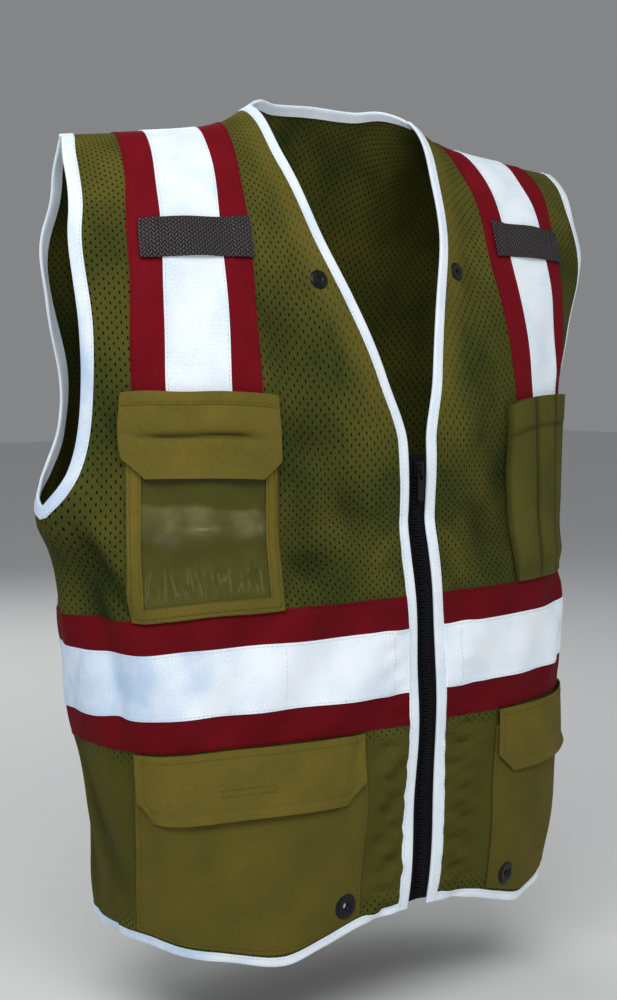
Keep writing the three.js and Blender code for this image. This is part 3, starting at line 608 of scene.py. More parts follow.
# %% Woven finishes
POCKET_LIGHT = (0.205, 0.146, 0.023)
POCKET_SHADE = (0.108, 0.098, 0.017)
# Painted shade: the pen pocket is the same cloth as the card pocket, in darker, greener colours because it
# turns away from the light.
PEN_LIGHT = (0.120, 0.108, 0.018)
PEN_SHADE = (0.068, 0.072, 0.013)
# Painted shade: the lower pockets are the same cloth in darker colours, because less light reaches low on the
# vest.
LOWER_LIGHT = (0.152, 0.116, 0.018)
LOWER_SHADE = (0.088, 0.082, 0.014)
POCKET_CREASE_SHADE = (0.026, 0.026, 0.004)
RED_LIGHT = (0.225, 0.005, 0.012)
RED_SHADE = (0.140, 0.003, 0.008)
# Painted shade: the waist trim is the same red as the shoulder trim in darker colours, because less light
# reaches low on the vest.
WAIST_LIGHT = (0.168, 0.004, 0.009)
WAIST_SHADE = (0.112, 0.0025, 0.0065)
WEB_FLOAT = (0.165, 0.148, 0.155)
WEB_GAP = (0.012, 0.010, 0.011)
WEAVE_PITCH = 1.5
RIB_PITCH, COURSE = 1.3, 2.6
LANE, FLOAT = 4.8, 2.9


def pocket_finish(name, light, shade):
    finish = Finish(name, Roughness=0.8, Specular_IOR_Level=0.1)
    place, across, along = finish.flat()
    weave = (across.wave(WEAVE_PITCH) * along.wave(WEAVE_PITCH)).raised()
    patch = finish.noise(place, 48, 3).ramp(0.3, 0.7)
    slub = finish.noise(place, 3, 2).ramp(0.35, 0.75)
    colour = finish.mix(patch * 0.7 + slub * 0.3, shade, light)
    colour = finish.mix(weave * 0.16, colour, shade)
    # Painted shade: darker in the flap's crease, along the sewn-down rows of the pen slots and under the pen
    # hem.
    finish.set(Base_Color=finish.mix(finish.attribute("painted_shade") * 0.75, colour, POCKET_CREASE_SHADE))
    finish.bump(weave * 0.6 + slub * 0.4, 0.5, 0.3)
    return finish.material


def red_finish(name, light, shade):
    finish = Finish(name, Roughness=0.78, Specular_IOR_Level=0.08)
    place, across, along = finish.flat()
    rib = (across * (TURN / RIB_PITCH) + along.wave(COURSE)).wave().raised()
    patch = finish.noise(place, 40, 3).ramp(0.25, 0.75)
    finish.set(Base_Color=finish.mix(patch * 0.75 + rib * 0.25, shade, light))
    finish.bump(rib, 0.4, 0.25)
    return finish.material


def webbing_finish():
    finish = Finish("webbing", Roughness=0.7, Specular_IOR_Level=0.15)
    place, across, along = finish.flat()
    lane = (across / LANE).to("FRACT")
    lean = (lane - 0.5).to("ABSOLUTE") * 2.0
    float_wave = ((along / FLOAT + lean) * TURN).wave().raised()
    gap = (lane * TURN * 2).wave().raised()
    weave = (float_wave * (0.35 + gap * 0.65)).ramp(0.15, 0.8)
    fuzz = finish.noise(place, 1.6, 2).ramp(0.25, 0.8)
    finish.set(Base_Color=finish.mix(weave * (0.45 + fuzz * 0.55), WEB_GAP, WEB_FLOAT))
    finish.bump(weave, 0.9, 0.5)
    return finish.material


POCKET_CLOTH = pocket_finish("pocket_cloth", POCKET_LIGHT, POCKET_SHADE)
PEN_SHADED_CLOTH = pocket_finish("pen_pocket_cloth_painted_shade", PEN_LIGHT, PEN_SHADE)
LOWER_SHADED_CLOTH = pocket_finish("lower_pocket_cloth_painted_shade", LOWER_LIGHT, LOWER_SHADE)
RED_TRIM = red_finish("red_trim", RED_LIGHT, RED_SHADE)
RED_WAIST_SHADED = red_finish("red_trim_waist_painted_shade", WAIST_LIGHT, WAIST_SHADE)
WEBBING = webbing_finish()
print("finishes", POCKET_CLOTH.name, RED_TRIM.name, WEBBING.name)

# %% [markdown]
# ## Reflective tape and binding
# The tape is cloth coated with tiny glass beads that send light back to where it comes from, so it looks
# white under a lamp, with a cold blue cast where it turns away. Blender has no such shader. A near-white
# base with a little light of its own gives the same brightness from every side, the blue cast is painted
# shade where the tape faces sideways, and fine speckle stands for the beads.

# %% Reflective finishes
TAPE_WHITE = (0.93, 0.96, 1.0)
TAPE_BLUE = (0.62, 0.76, 0.88)
TAPE_TURNED_SHADE = (0.30, 0.48, 0.74)


def tape_finish(name, rib_pitch, rib_depth, glow):
    finish = Finish(name, Roughness=0.42, Specular_IOR_Level=0.4, Emission_Strength=glow)
    place, _, along = finish.flat()
    beads = finish.noise(place, 1.5, 1).ramp(0.3, 0.7)
    cloud = finish.noise(place, 34, 4).ramp(0.30, 0.60)
    rib = along.wave(rib_pitch).raised()
    white = cloud * 0.5 + beads * 0.5
    colour = finish.mix(white, TAPE_BLUE, TAPE_WHITE)
    colour = finish.mix(rib * rib_depth, colour, TAPE_BLUE)
    turned = finish.attribute("turned")
    # Painted shade: a cold blue where the tape faces sideways.
    colour = finish.mix(turned * (0.75 - cloud * 0.35), colour, TAPE_TURNED_SHADE)
    finish.set(Base_Color=colour, Emission_Color=colour)
    finish.bump(beads * 0.4 + rib * 0.6, 0.25, 0.25)
    return finish.material


REFLECTIVE_TAPE = tape_finish("reflective_tape", 2.4, 0.12, 0.16)
BINDING = tape_finish("binding", 1.9, 0.3, 0.12)
print("finishes", REFLECTIVE_TAPE.name, BINDING.name)

# %% [markdown]
# ## Vinyl, zip and enamel
# The window of the pocket is a clear soft sheet: a glossy surface that lets most of the cloth behind it
# through. A broad band and short streaks on it are painted highlight, paler and less clear, and the
# window is paler towards its foot. The zip's tape and coil are black, the coil glossier. The slider and
# the eyelets are enamelled metal, worn a little paler in patches.

# %% Hard and glossy finishes
VINYL_SHADE = (0.070, 0.078, 0.009)
VINYL_LIGHT = (0.150, 0.142, 0.022)
VINYL_PAINTED_HIGHLIGHT = (0.280, 0.250, 0.110)
# Where the band of painted highlight lies on the window, and its streaks.
HIGHLIGHT_FOOT, HIGHLIGHT_HEAD = (48.0, 59.0), (73.5, 70.5)
HIGHLIGHT_SIDES = ((7, 16), (111, 104))
STREAK_SCALE = (0.2, 0.045)
STREAK_EDGES = ((0.53, 0.57), (0.64, 0.60))
STREAK_ENDS = ((40, 30), (14, 18))
PALER_FOOT = (46, 12)
BLACK_SHADE, BLACK_LIGHT = (0.002, 0.002, 0.003), (0.008, 0.008, 0.010)


def within(value, first, second):
    """1 between two soft edges, 0 outside them."""
    return value.ramp(*first) * value.ramp(*second)


def vinyl_finish():
    finish = Finish("vinyl", Roughness=0.14, Specular_IOR_Level=0.45, Coat_Weight=0.3, Coat_Roughness=0.1)
    place, across, up = finish.flat()
    haze = finish.noise(place, 18, 3).ramp(0.3, 0.75)
    wander = (finish.noise(place, 26, 1) - 0.5) * 9
    height = up + wander - across * 0.05
    # A broad band of painted highlight across the window.
    fold = within(height, HIGHLIGHT_FOOT, HIGHLIGHT_HEAD) * within(across, *HIGHLIGHT_SIDES)
    # Short streaks of painted highlight along the creases near the foot.
    drawn_out = finish.add("CombineXYZ", X=across * STREAK_SCALE[0], Y=up * STREAK_SCALE[1])
    streak = finish.add("TexNoise", Vector=drawn_out, Scale=1.0, Detail=1.0)
    streak = within(streak, *STREAK_EDGES) * within(up, *STREAK_ENDS)
    painted_highlight = fold * (0.25 + haze * 0.6) + streak * 0.4
    # Paler towards the foot of the window.
    towards_foot = up.ramp(*PALER_FOOT)
    colour = finish.mix(haze * 0.5 + towards_foot * 0.5, VINYL_SHADE, VINYL_LIGHT)
    finish.set(Base_Color=finish.mix(painted_highlight * 0.8, colour, VINYL_PAINTED_HIGHLIGHT))
    finish.set(Alpha=0.36 + haze * 0.1 + painted_highlight * 0.4)
    return finish.material


def black_finish(name, roughness, pitch, gloss):
    finish = Finish(name, Specular_IOR_Level=gloss)
    coordinates = finish.add("TexCoord", output=3)
    grain = finish.noise(coordinates, pitch, 3).ramp(0.3, 0.75)
    finish.set(Base_Color=finish.mix(grain, BLACK_SHADE, BLACK_LIGHT))
    finish.set(Roughness=roughness + grain * 0.2)
    finish.bump(grain, 0.3, 0.15)
    return finish.material


VINYL = vinyl_finish()
ZIP_CLOTH = black_finish("zip_tape", 0.7, 1.6, 0.1)
ZIP_COIL = black_finish("zip_coil", 0.55, 2.5, 0.12)
ENAMEL = black_finish("enamel", 0.34, 3.0, 0.25)
print("finishes", VINYL.name, ZIP_CLOTH.name, ZIP_COIL.name, ENAMEL.name)

# %% [markdown]
# ## Cutting and laying cloth
# Each piece of cloth starts as a flat grid, as it lies on the cutting table. Its vertices are then moved to
# their places on the worn form, it is turned so that it faces out, and Solidify gives it its thickness. A
# cloth simulation would also fold it, but not into the folds that this vest shows, so the places come from
# the form.

# %% Cloth helpers
CELL = 4.0
TURNS_LATE = (0.6, 0.97)
TURNS_SOON = (0.42, 0.88)
SMOOTH_ANGLE = 50


def only(piece):
    """Makes one piece the selected and active one."""
    bpy.ops.object.select_all(action="DESELECT")
    piece.select_set(True)
    bpy.context.view_layer.objects.active = piece


def edit_all(operation, **settings):
    """Runs one operation of edit mode on the whole of the active piece."""
    bpy.ops.object.mode_set(mode="EDIT")
    bpy.ops.mesh.select_all(action="SELECT")
    operation(**settings)
    bpy.ops.object.mode_set(mode="OBJECT")


def modify(piece, kind, **settings):
    """Adds a modifier, sets its values and applies it."""
    only(piece)
    bpy.ops.object.modifier_add(type=kind)
    modifier = piece.modifiers[-1]
    for key, value in settings.items():
        setattr(modifier, key, value)
    bpy.ops.object.modifier_apply(modifier=modifier.name)


def mesh_points(piece):
    flat = np.empty(3 * len(piece.data.vertices))
    piece.data.vertices.foreach_get("co", flat)
    return flat.reshape(-1, 3)


def grid(name, columns, rows):
    """A flat grid, and the share of its width and height at each vertex."""
    bpy.ops.object.select_all(action="DESELECT")
    bpy.ops.mesh.primitive_grid_add(x_subdivisions=columns, y_subdivisions=rows, size=1)
    piece = bpy.context.object
    piece.name = piece.data.name = name
    piece.data.uv_layers[0].name = FLAT_MAP
    shares = mesh_points(piece) + 0.5
    return piece, shares[:, 0], shares[:, 1]


def flat_cloth(name, wide, tall, cell=CELL):
    """A grid with cells of about one size."""
    return grid(name, max(2, round(wide / cell)), max(2, round(tall / cell)))


def flat_places(piece, across, along):
    """Writes the places on the flat cloth, in metres, into the piece's own map."""
    corners = np.empty(len(piece.data.loops), int)
    piece.data.loops.foreach_get("vertex_index", corners)
    places = np.stack([across, along], -1)[corners] * MM
    piece.data.uv_layers[FLAT_MAP].data.foreach_set("uv", places.ravel())


def spread(piece, name, values):
    """Stores one number for each vertex."""
    layer = piece.data.attributes.new(name, "FLOAT", "POINT")
    layer.data.foreach_set("value", values)


def lay(piece, points, normals, thick, material, angle=SMOOTH_ANGLE, turning=TURNS_LATE):
    """Moves a flat cloth to its place, turns it outwards and thickens it. Returns its area."""
    piece.data.vertices.foreach_set("co", (points * MM).ravel())
    piece.data.update()
    # Where the cloth faces sideways; the tape finishes paint it a cold blue as painted shade.
    spread(piece, "turned", ease(np.abs(normals[:, 0]), *turning))
    area = sum(face.area for face in piece.data.polygons)
    facing = sum(face.normal.dot(Vector(normals[face.vertices[0]])) for face in piece.data.polygons)
    only(piece)
    if facing < 0:
        edit_all(bpy.ops.mesh.flip_normals)
    modify(piece, "SOLIDIFY", thickness=thick * MM, offset=1)
    piece.data.materials.clear()
    piece.data.materials.append(material)
    bpy.ops.object.shade_smooth_by_angle(angle=math.radians(angle))
    return area


def sewn_on(piece, slot, *nodes):
    """The piece moves with the vest and stands for its solids, which are hidden."""
    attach(piece, "vest")
    if nodes:
        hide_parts(*nodes)


def declare(piece, area, wide, tall, under=("worn_on_shoulders",), goes_with=()):
    """Prints the flat size of a piece and its area."""
    flat = (wide * MM, tall * MM)
    cut = min(area, flat[0] * flat[1])
    print(f"cloth {piece.name}: {wide:.0f} by {tall:.0f} mm, {area * 1e4:.0f} cm2")


def by_side(side, at):
    """Picks between the values of the right side and of the left side, place by place."""
    return np.where(side == RIGHT, at(RIGHT), at(LEFT))


def by_face(face, at):
    return np.where(face == FRONT, at(FRONT), at(BACK))


# %% [markdown]
# ## The three panels
# The front panels run from the zip to the side seam and from the hem to the shoulder seam, the back panel
# from side to side. The rows of a panel bend with its hem, and at the back with its neck, so that every
# edge is a clean row of the grid.

# %% Panels
PANEL = 0.9
FRONT_GRID, FRONT_CUT = (275, 690), (290, 690)
BACK_GRID, BACK_CUT = (560, 680), (590, 680)
NAMES = {RIGHT: "right", LEFT: "left"}
HEM_ROW = -600.0
BAND_FOOT = BAND_LEVEL - RED_WIDTH / 2
LINING = (BAND_FOOT - 12, BAND_FOOT - 3)
LINING_HEM = (12, 24)
FACING = (14, 38)
LAPEL_LEVELS = (ZIP_TOP_LEVEL - 20, ZIP_TOP_LEVEL + 60)
LAPEL_BACKING = 0.6
# Painted light: the mesh is lightened towards the top of the front panels, stored with the lapel.
LIT_TOP = 0.5
LIT_LEVELS = (-230, -70)


def front_place(side, u, v):
    at_hem = between(front_edge(HEM_ROW), side_end(side, FRONT, HEM_ROW), u)
    level = between(hem_level(at_hem), -SEAM, v)
    return between(front_edge(level), side_end(side, FRONT, level), u), level


def back_place(u, v):
    side = np.where(u < 0.5, RIGHT, LEFT)
    share = np.abs(2 * u - 1)
    at_top = share * by_side(side, lambda s: side_end(s, BACK, np.array([-SEAM]))[0])
    top = np.where(at_top < NECK_HALF, smooth(BACK_NECK, "across", "level", at_top), -SEAM)
    level = between(SIDE_HEM_LEVEL, top, v)
    return side, share * by_side(side, lambda s: side_end(s, BACK, level)), level


def front_panel(side):
    piece, u, v = flat_cloth(f"cloth_front_{NAMES[side]}", *FRONT_GRID)
    across, level = front_place(side, u, v)
    points, normals = cloth(side, FRONT, across, level)
    flat_places(piece, across, level)
    neck = 1 - ease(across - front_edge(level), *FACING)
    low = (1 - ease(level, *LINING)) * ease(level - hem_level(across), *LINING_HEM)
    lapel = neck * ease(level, *LAPEL_LEVELS)
    # The attribute lapel holds the facing at the neck, and also painted light towards the top of the panel.
    spread(piece, "lapel", np.maximum(lapel, LIT_TOP * ease(level, *LIT_LEVELS)))
    spread(piece, "backed", np.maximum(lapel * LAPEL_BACKING, low))
    spread(piece, "painted_shade", painted_shade(side, turn_at(side, FRONT, across, level), level))
    area = lay(piece, points, normals, PANEL, MESH_CLOTH)
    sewn_on(piece, "mesh_cloth", f"front_panel_{NAMES[side]}")
    declare(piece, area, *FRONT_CUT)
    return piece


def back_panel():
    piece, u, v = flat_cloth("cloth_back", *BACK_GRID)
    side, across, level = back_place(u, v)
    points, normals = cloth(side, BACK, across, level)
    flat_places(piece, across * side, level)
    spread(piece, "lapel", np.zeros(len(u)))
    spread(piece, "backed", 1 - ease(level, *LINING))
    spread(piece, "painted_shade", by_side(side, lambda s: painted_shade(s, turn_at(s, BACK, across, level), level)))
    area = lay(piece, points, normals, PANEL, MESH_CLOTH)
    sewn_on(piece, "mesh_cloth", "back_panel")
    declare(piece, area, *BACK_CUT)


panels = {side: front_panel(side) for side in BOTH}
back_panel()

# %% [markdown]
# ## Red trim and reflective tape
# A strip of red trim with a narrower tape on it runs from the waist band at the front over the shoulder to
# the waist band at the back. Another goes round the waist in three lengths. A strip is one grid: its width
# follows the distance across, and its length crosses the shoulder seam from the front face to the back
# face.

# %% Strips
Strip = namedtuple("Strip", "wide lift thick slot shoulder waist over round")
RED = Strip(RED_WIDTH, 0.95, 0.7, "red_trim", "shoulder_stripe", "waist_band", RED_TRIM, RED_WAIST_SHADED)
TAPE = Strip(
    TAPE_WIDTH, 1.7, 0.6, "reflective_tape", "shoulder_tape", "waist_tape", REFLECTIVE_TAPE, REFLECTIVE_TAPE
)
BAND_TOP = BAND_LEVEL + RED_WIDTH / 2
BAND_GAP = 0.2
SHOULDER_LENGTH, SHOULDER_CUT = 800.0, 860
FRONT_LENGTH, FRONT_STRIP_CUT = 265, 290
BACK_LENGTH, BACK_STRIP_CUT = 545, 580


def lay_strip(strip, made, place, flat_at, material, turning, node, cut, under):
    """Lays a strip at places given as side, face, distance across and level."""
    points, normals = cloth(*place, strip.lift)
    flat_places(made, *flat_at)
    area = lay(made, points, normals, strip.thick, material, turning=turning)
    sewn_on(made, strip.slot, node)
    declare(made, area, *cut, under)


def shoulder_strip(side, strip):
    node = f"{strip.shoulder}_{NAMES[side]}"
    made, u, v = flat_cloth(f"{node}_cloth", strip.wide, SHOULDER_LENGTH)
    face = np.where(v < 0.5, FRONT, BACK)
    level = BAND_TOP * np.abs(2 * v - 1)
    centre = by_face(face, lambda f: stripe_centre(side, f, level))
    place = side, face, centre + (u - 0.5) * strip.wide, level
    turning = TURNS_LATE if side == RIGHT else TURNS_SOON
    under = (f"front_panel_{NAMES[side]}", "back_panel")
    flat_at = u * strip.wide, v * SHOULDER_LENGTH
    lay_strip(strip, made, place, flat_at, strip.over, turning, node, (strip.wide, SHOULDER_CUT), under)


def front_band(side, strip):
    node = f"{strip.waist}_{NAMES[side]}"
    start = front_edge(BAND_LEVEL) + FRONT_LEG + BAND_GAP
    made, u, v = flat_cloth(f"{node}_cloth", FRONT_LENGTH, strip.wide)
    level = BAND_LEVEL + (v - 0.5) * strip.wide
    across = between(start, reach(side, FRONT, level), u)
    place = side, FRONT, across, level
    under = (f"front_panel_{NAMES[side]}",)
    cut = (FRONT_STRIP_CUT, strip.wide)
    lay_strip(strip, made, place, (level, across), strip.round, TURNS_SOON, node, cut, under)


def back_band(strip):
    node = f"{strip.waist}_back"
    made, u, v = flat_cloth(f"{node}_cloth", BACK_LENGTH, strip.wide)
    level = BAND_LEVEL + (v - 0.5) * strip.wide
    side = np.where(u < 0.5, RIGHT, LEFT)
    across = np.abs(2 * u - 1) * by_side(side, lambda s: reach(s, BACK, level))
    place = side, BACK, across, level
    cut = (BACK_STRIP_CUT, strip.wide)
    lay_strip(strip, made, place, (level, across * side), strip.round, TURNS_SOON, node, cut, ("back_panel",))


for side in BOTH:
    for lay_one in (shoulder_strip, front_band):
        for strip in (RED, TAPE):
            lay_one(side, strip)
for strip in (RED, TAPE):
    back_band(strip)

# %% [markdown]
# ## Bound edges
# A binding is a tape folded over a raw edge and stitched through. It is a grid as well: one direction
# follows the edge, and the other goes along the outer leg, round the edge and back along the inner leg. The
# width is measured on the surface, because levels and millimetres differ a little over the shoulder.

# %% Bindings
LEG_STEPS = 4
WRAP_STEPS = 5
WRAP_FLAT = 0.4
LEG, HEM_LEG, INNER_LEG = 9.4, 6.4, 8.6
OUTER_LIFT, INNER_LIFT = 1.1, -0.3
BINDING_THICK = 0.6
BINDING_ANGLE = 70
BINDING_STEP = 3.0
BINDING_TURN = 5
BINDING_EASE = 1.05
SEAM_INSET = 1.4
SEAM_LIFT = 0.1
WELD = 0.02
STATION = 4.0
FRONT_FOOT = 9.0
HEM_START = 18.5
SIDE_HEM = float(SIDE_HEM_LEVEL)
binding_seams = []


def even_path(u, level, step=STATION):
    """The same line with points at even distances."""
    along = np.concatenate([[0], np.cumsum(np.hypot(np.diff(u), np.diff(level)))])
    places = np.linspace(0, along[-1], max(2, round(along[-1] / step)) + 1)
    return np.interp(places, along, u), np.interp(places, along, level)


def section_of_binding(outer_leg):
    """Distance in from the edge and height above the cloth line, from leg to leg round the edge."""
    middle = (OUTER_LIFT + INNER_LIFT) / 2
    radius = (OUTER_LIFT - INNER_LIFT) / 2
    outer = [(reach_in, OUTER_LIFT) for reach_in in np.linspace(outer_leg, 0, LEG_STEPS + 1)]
    wrap = []
    for angle in np.linspace(0, math.pi, WRAP_STEPS + 2)[1:-1]:
        wrap.append((-radius * WRAP_FLAT * math.sin(angle), middle + radius * math.cos(angle)))
    inner_leg = min(INNER_LEG, outer_leg)
    inner = [(reach_in, INNER_LIFT) for reach_in in np.linspace(0, inner_leg, LEG_STEPS + 1)]
    return np.array(outer + wrap + inner)


def binding(name, chart, path, inward, leg, node, under, closed=False):
    """A folded tape along a line of places. inward is 1 where the cloth is to the left of the line."""
    u, level = path
    du, dl = np.gradient(u), np.gradient(level)
    size = np.hypot(du, dl)
    in_u, in_level = -dl / size * inward, du / size * inward

    def inside(distance, lift=0.0):
        return chart(u + in_u * distance, level + in_level * distance, lift)

    edge = inside(0.0)[0]
    scale = np.linalg.norm(inside(leg / 2)[0] - edge, axis=-1) / (leg / 2)
    away = edge - inside(1.0)[0]
    away /= np.linalg.norm(away, axis=-1, keepdims=True)
    rings, outs = [], []
    for reach_in, lift in section_of_binding(leg):
        points, normals = inside(max(reach_in, 0) / scale, lift)
        rings.append(points - away * min(reach_in, 0))
        outs.append(normals)
    points, normals = np.stack(rings, 1), np.stack(outs, 1)
    if closed:
        points[0] = points[-1] = (points[0] + points[-1]) / 2
    rows, columns = points.shape[0] - 1, points.shape[1] - 1
    piece, share_across, share_along = grid(name, columns, rows)
    i = np.rint(share_along * rows).astype(int)
    j = np.rint(share_across * columns).astype(int)
    lengths = np.linalg.norm(np.diff(points[:, 0], axis=0), axis=-1)
    along = np.concatenate([[0], np.cumsum(lengths)])
    flat_places(piece, j * BINDING_STEP, along[i])
    facing = np.where((j < columns / 2)[:, None], normals[i, j], -normals[i, j])
    area = lay(piece, points[i, j], facing, BINDING_THICK, BINDING, angle=BINDING_ANGLE)
    if closed:
        edit_all(bpy.ops.mesh.remove_doubles, threshold=WELD * MM)
    sewn_on(piece, "binding", node)
    binding_seams.append(inside((leg - SEAM_INSET) / scale, OUTER_LIFT + BINDING_THICK + SEAM_LIFT))
    wide = leg + min(INNER_LEG, leg) + BINDING_TURN
    declare(piece, area, wide, along[-1] * BINDING_EASE, under)


def front_chart(side):
    return lambda u, level, lift: cloth(side, FRONT, u, np.minimum(level, -SEAM), lift)


def back_chart(u, level, lift):
    return cloth(np.where(u < 0, RIGHT, LEFT), BACK, np.abs(u), np.minimum(level, -SEAM), lift)


def hem_chart(side):
    """Distances along the hem, which stay in step where the form grows wider above it."""
    at_hem = reach(side, FRONT, SIDE_HEM)
    return lambda u, level, lift: cloth(side, FRONT, u * reach(side, FRONT, level) / at_hem, level, lift)


def back_hem_chart(u, level, lift):
    side = np.where(u < 0, RIGHT, LEFT)
    grown = by_side(side, lambda s: reach(s, BACK, level) / reach(s, BACK, SIDE_HEM))
    return cloth(side, BACK, np.abs(u) * grown, level, lift)


def side_chart(side):
    def at(from_side, level, lift):
        face = np.where(from_side < 0, FRONT, BACK)
        level = np.minimum(level, -SEAM)
        ends = by_face(face, lambda f: reach(side, f, level))
        return cloth(side, face, ends - np.abs(from_side), level, lift)

    return at


def bind_edges(side):
    name = NAMES[side]
    on = [f"front_panel_{name}"]
    level = np.linspace(hem_level(FRONT_FOOT) - 1, -SEAM, 400)
    path = even_path(front_edge(level), level)
    binding(f"binding_front_{name}", front_chart(side), path, -1, FRONT_LEG, f"front_binding_{name}", on)
    across = np.linspace(HEM_START, reach(side, FRONT, SIDE_HEM), 300)
    path = even_path(across, hem_level(across))
    binding(f"binding_hem_{name}", hem_chart(side), path, 1, HEM_LEG, f"hem_binding_{name}", on)
    levels = np.linspace(ARMHOLE_LEVEL, -SEAM, 400)
    front, back = (smooth(ARMHOLE, "level", face, levels) for face in FACE_NAMES)
    path = np.concatenate([-front[::-1], back[1:]]), np.concatenate([levels[::-1], levels[1:]])
    on.append("back_panel")
    node = f"armhole_binding_{name}"
    binding(f"binding_arm_{name}", side_chart(side), even_path(*path), -1, LEG, node, on, True)


def bind_back():
    ends = [reach(side, BACK, SIDE_HEM) for side in BOTH]
    across = np.linspace(-ends[0], ends[1], 400)
    path = even_path(across, across * 0 + SIDE_HEM_LEVEL)
    binding("binding_hem_back", back_hem_chart, path, 1, HEM_LEG, "hem_binding_back", ["back_panel"])
    across = np.linspace(-NECK_HALF + 1, NECK_HALF - 1, 200)
    path = even_path(across, smooth(BACK_NECK, "across", "level", np.abs(across)))
    binding("binding_neck", back_chart, path, -1, LEG, "neck_binding", ["back_panel"])


for side in BOTH:
    bind_edges(side)
bind_back()

# %% [markdown]
# ## Webbing tabs
# A short webbing tab sits across each shoulder strip. Its ends are folded under and sewn down, and its
# middle is free, so that a clip can go behind it. The tab is a grid whose height above the cloth changes
# along its length: doubled at the ends, and bowed out a little between them.

# %% Tabs
PATCH_CELL = 3.0
TAB_SIZE = (93.0, 28.0)
TAB_CELL = 2.0
TAB_SHIFT = -4.0
TAB_LEVEL = {RIGHT: -150, LEFT: -142}
TAB_LIFT = 2.4
TAB_DOUBLE = 1.1
TAB_BOW = 2.2
TAB_END = 0.34
TAB_FOLD = (TAB_END - 0.05, TAB_END + 0.03)
TAB_THICK = 1.2


def grown(size, wide, tall):
    """A size with allowances for turning the edges."""
    return size[0] + wide, size[1] + tall


def bell(away):
    """1 in the middle, falling off to both sides."""
    return np.exp(-(away**2))


def even_lift(height):
    return lambda u, v: height + 0 * u


def patch(name, side, place, lift, thick, material, size, cell=PATCH_CELL, deep=None):
    """Cloth on a front panel, and its area. place, lift and deep are given the shares across and up; deep is
    stored as painted shade.
    """
    piece, u, v = flat_cloth(name, *size, cell)
    points, normals = cloth(side, FRONT, *place(u, v), lift(u, v))
    flat_places(piece, u * size[0], v * size[1])
    if deep:
        spread(piece, "painted_shade", deep(u, v))
    return piece, lay(piece, points, normals, thick, material)


def sew_patch(made, slot, node, cut, under, goes_with=()):
    """Fixes a patch to the vest and prints its flat size."""
    piece, area = made
    sewn_on(piece, slot, node)
    declare(piece, area, *cut, under, goes_with)
    return piece


def tab_lift(u, _):
    from_end = 1 - np.abs(2 * u - 1)
    doubled = TAB_DOUBLE * (1 - ease(from_end, *TAB_FOLD))
    free = np.clip((from_end - TAB_END) / (1 - TAB_END), 0, 1)
    return TAB_LIFT + doubled + TAB_BOW * np.sin(free * math.pi / 2) ** 2


def tab_place(side):
    def place(u, v):
        level = TAB_LEVEL[side] + (v - 0.5) * TAB_SIZE[1]
        centre = stripe_centre(side, FRONT, level) - STRIPE_DRIFT[side] + TAB_SHIFT
        return centre + (u - 0.5) * TAB_SIZE[0], level

    return place


for side in BOTH:
    name = NAMES[side]
    made = patch(f"tab_{name}", side, tab_place(side), tab_lift, TAB_THICK, WEBBING, TAB_SIZE, TAB_CELL)
    sew_patch(made, "webbing", f"mic_tab_{name}", grown(TAB_SIZE, 4, 2), (f"shoulder_tape_{name}",))

# %% [markdown]
# ## Card pocket with a window
# On the right chest a card pocket hides the lower end of the shoulder strip. It has a cloth back, a vinyl
# window with a border on three sides, and a flap with cut corners. The vinyl isn't flat: a broad wave
# crosses it under the flap and short creases start at the lower border. The flap is creased where it has
# been bent.

# %% Card pocket
CARD = {"near": 132.0, "far": 248.0, "top": -245.0, "bottom": -382.0}
CARD_WIDE = CARD["far"] - CARD["near"]
CARD_TALL = CARD["top"] - CARD["bottom"]
CARD_SIZE = (CARD_WIDE, CARD_TALL)
CARD_BORDER = 11.0
CARD_FLAP = 46.0
CARD_CUT = (16.0, 11.0)
CARD_STRIP = 7.0
CARD_LIFT = {"back": 2.4, "window": 3.9, "border": 3.1, "flap": 6.4, "strip": 7.3}
CARD_THICK = {"back": 0.6, "window": 0.3, "border": 0.9, "flap": 0.9, "strip": 0.5}
BORDER_RISE = 1.5
BORDER_CELL, WINDOW_CELL, FLAP_CELL, STRIP_CELL = 2.2, 1.6, 1.5, 2.0
Crease = namedtuple("Crease", "at lean deep")
VINYL_CREASES = (
    Crease(0.24, 0.3, 1.3),
    Crease(0.36, -0.25, 1.4),
    Crease(0.46, 0.1, 1.6),
    Crease(0.52, 0.4, 1.4),
    Crease(0.61, 0.5, 1.5),
    Crease(0.7, -0.3, 1.2),
    Crease(0.8, -0.45, 1.4),
)
VINYL_WAVE = 3.4


def card_place(u, v):
    return between(CARD["near"], CARD["far"], u), between(CARD["bottom"], CARD["top"], v)


def vinyl_lift(u, v):
    bend = 0.03 * np.sin(5 * u + 2.4) + 0.02 * bell((u - 0.8) / 0.05)
    out = VINYL_WAVE * bell((v - 0.45 - bend) / 0.075)
    creases = np.zeros_like(u)
    for crease in VINYL_CREASES:
        away = (u - crease.at - crease.lean * (v - 0.1)) / 0.016
        creases += crease.deep * bell(away) * bell((v - 0.17) / 0.06)
    inside = ease(np.minimum(u, 1 - u), 0.05, 0.2) * ease(v, 0.05, 0.14)
    return CARD_LIFT["window"] + (out + creases) * inside


def flap_place(near, far, top, tall, cut):
    """A flap that hangs from its top edge, with its lower corners cut off."""

    def place(u, v):
        from_foot = v * tall
        take = cut[0] * np.clip(1 - from_foot / cut[1], 0, 1)
        return between(near + take, far - take, u), top - tall + from_foot

    return place


def crease_line(u):
    return 0.5 + 0.05 * (u - 0.5) + 0.02 * np.sin(6 * u)


# The flap's crease, which dents the flap and also darkens its colour as painted shade.
def card_crease(u, v):
    return bell((v - crease_line(u)) / 0.035) * ease(u, 0.05, 0.3) * ease(u, 0.98, 0.75)


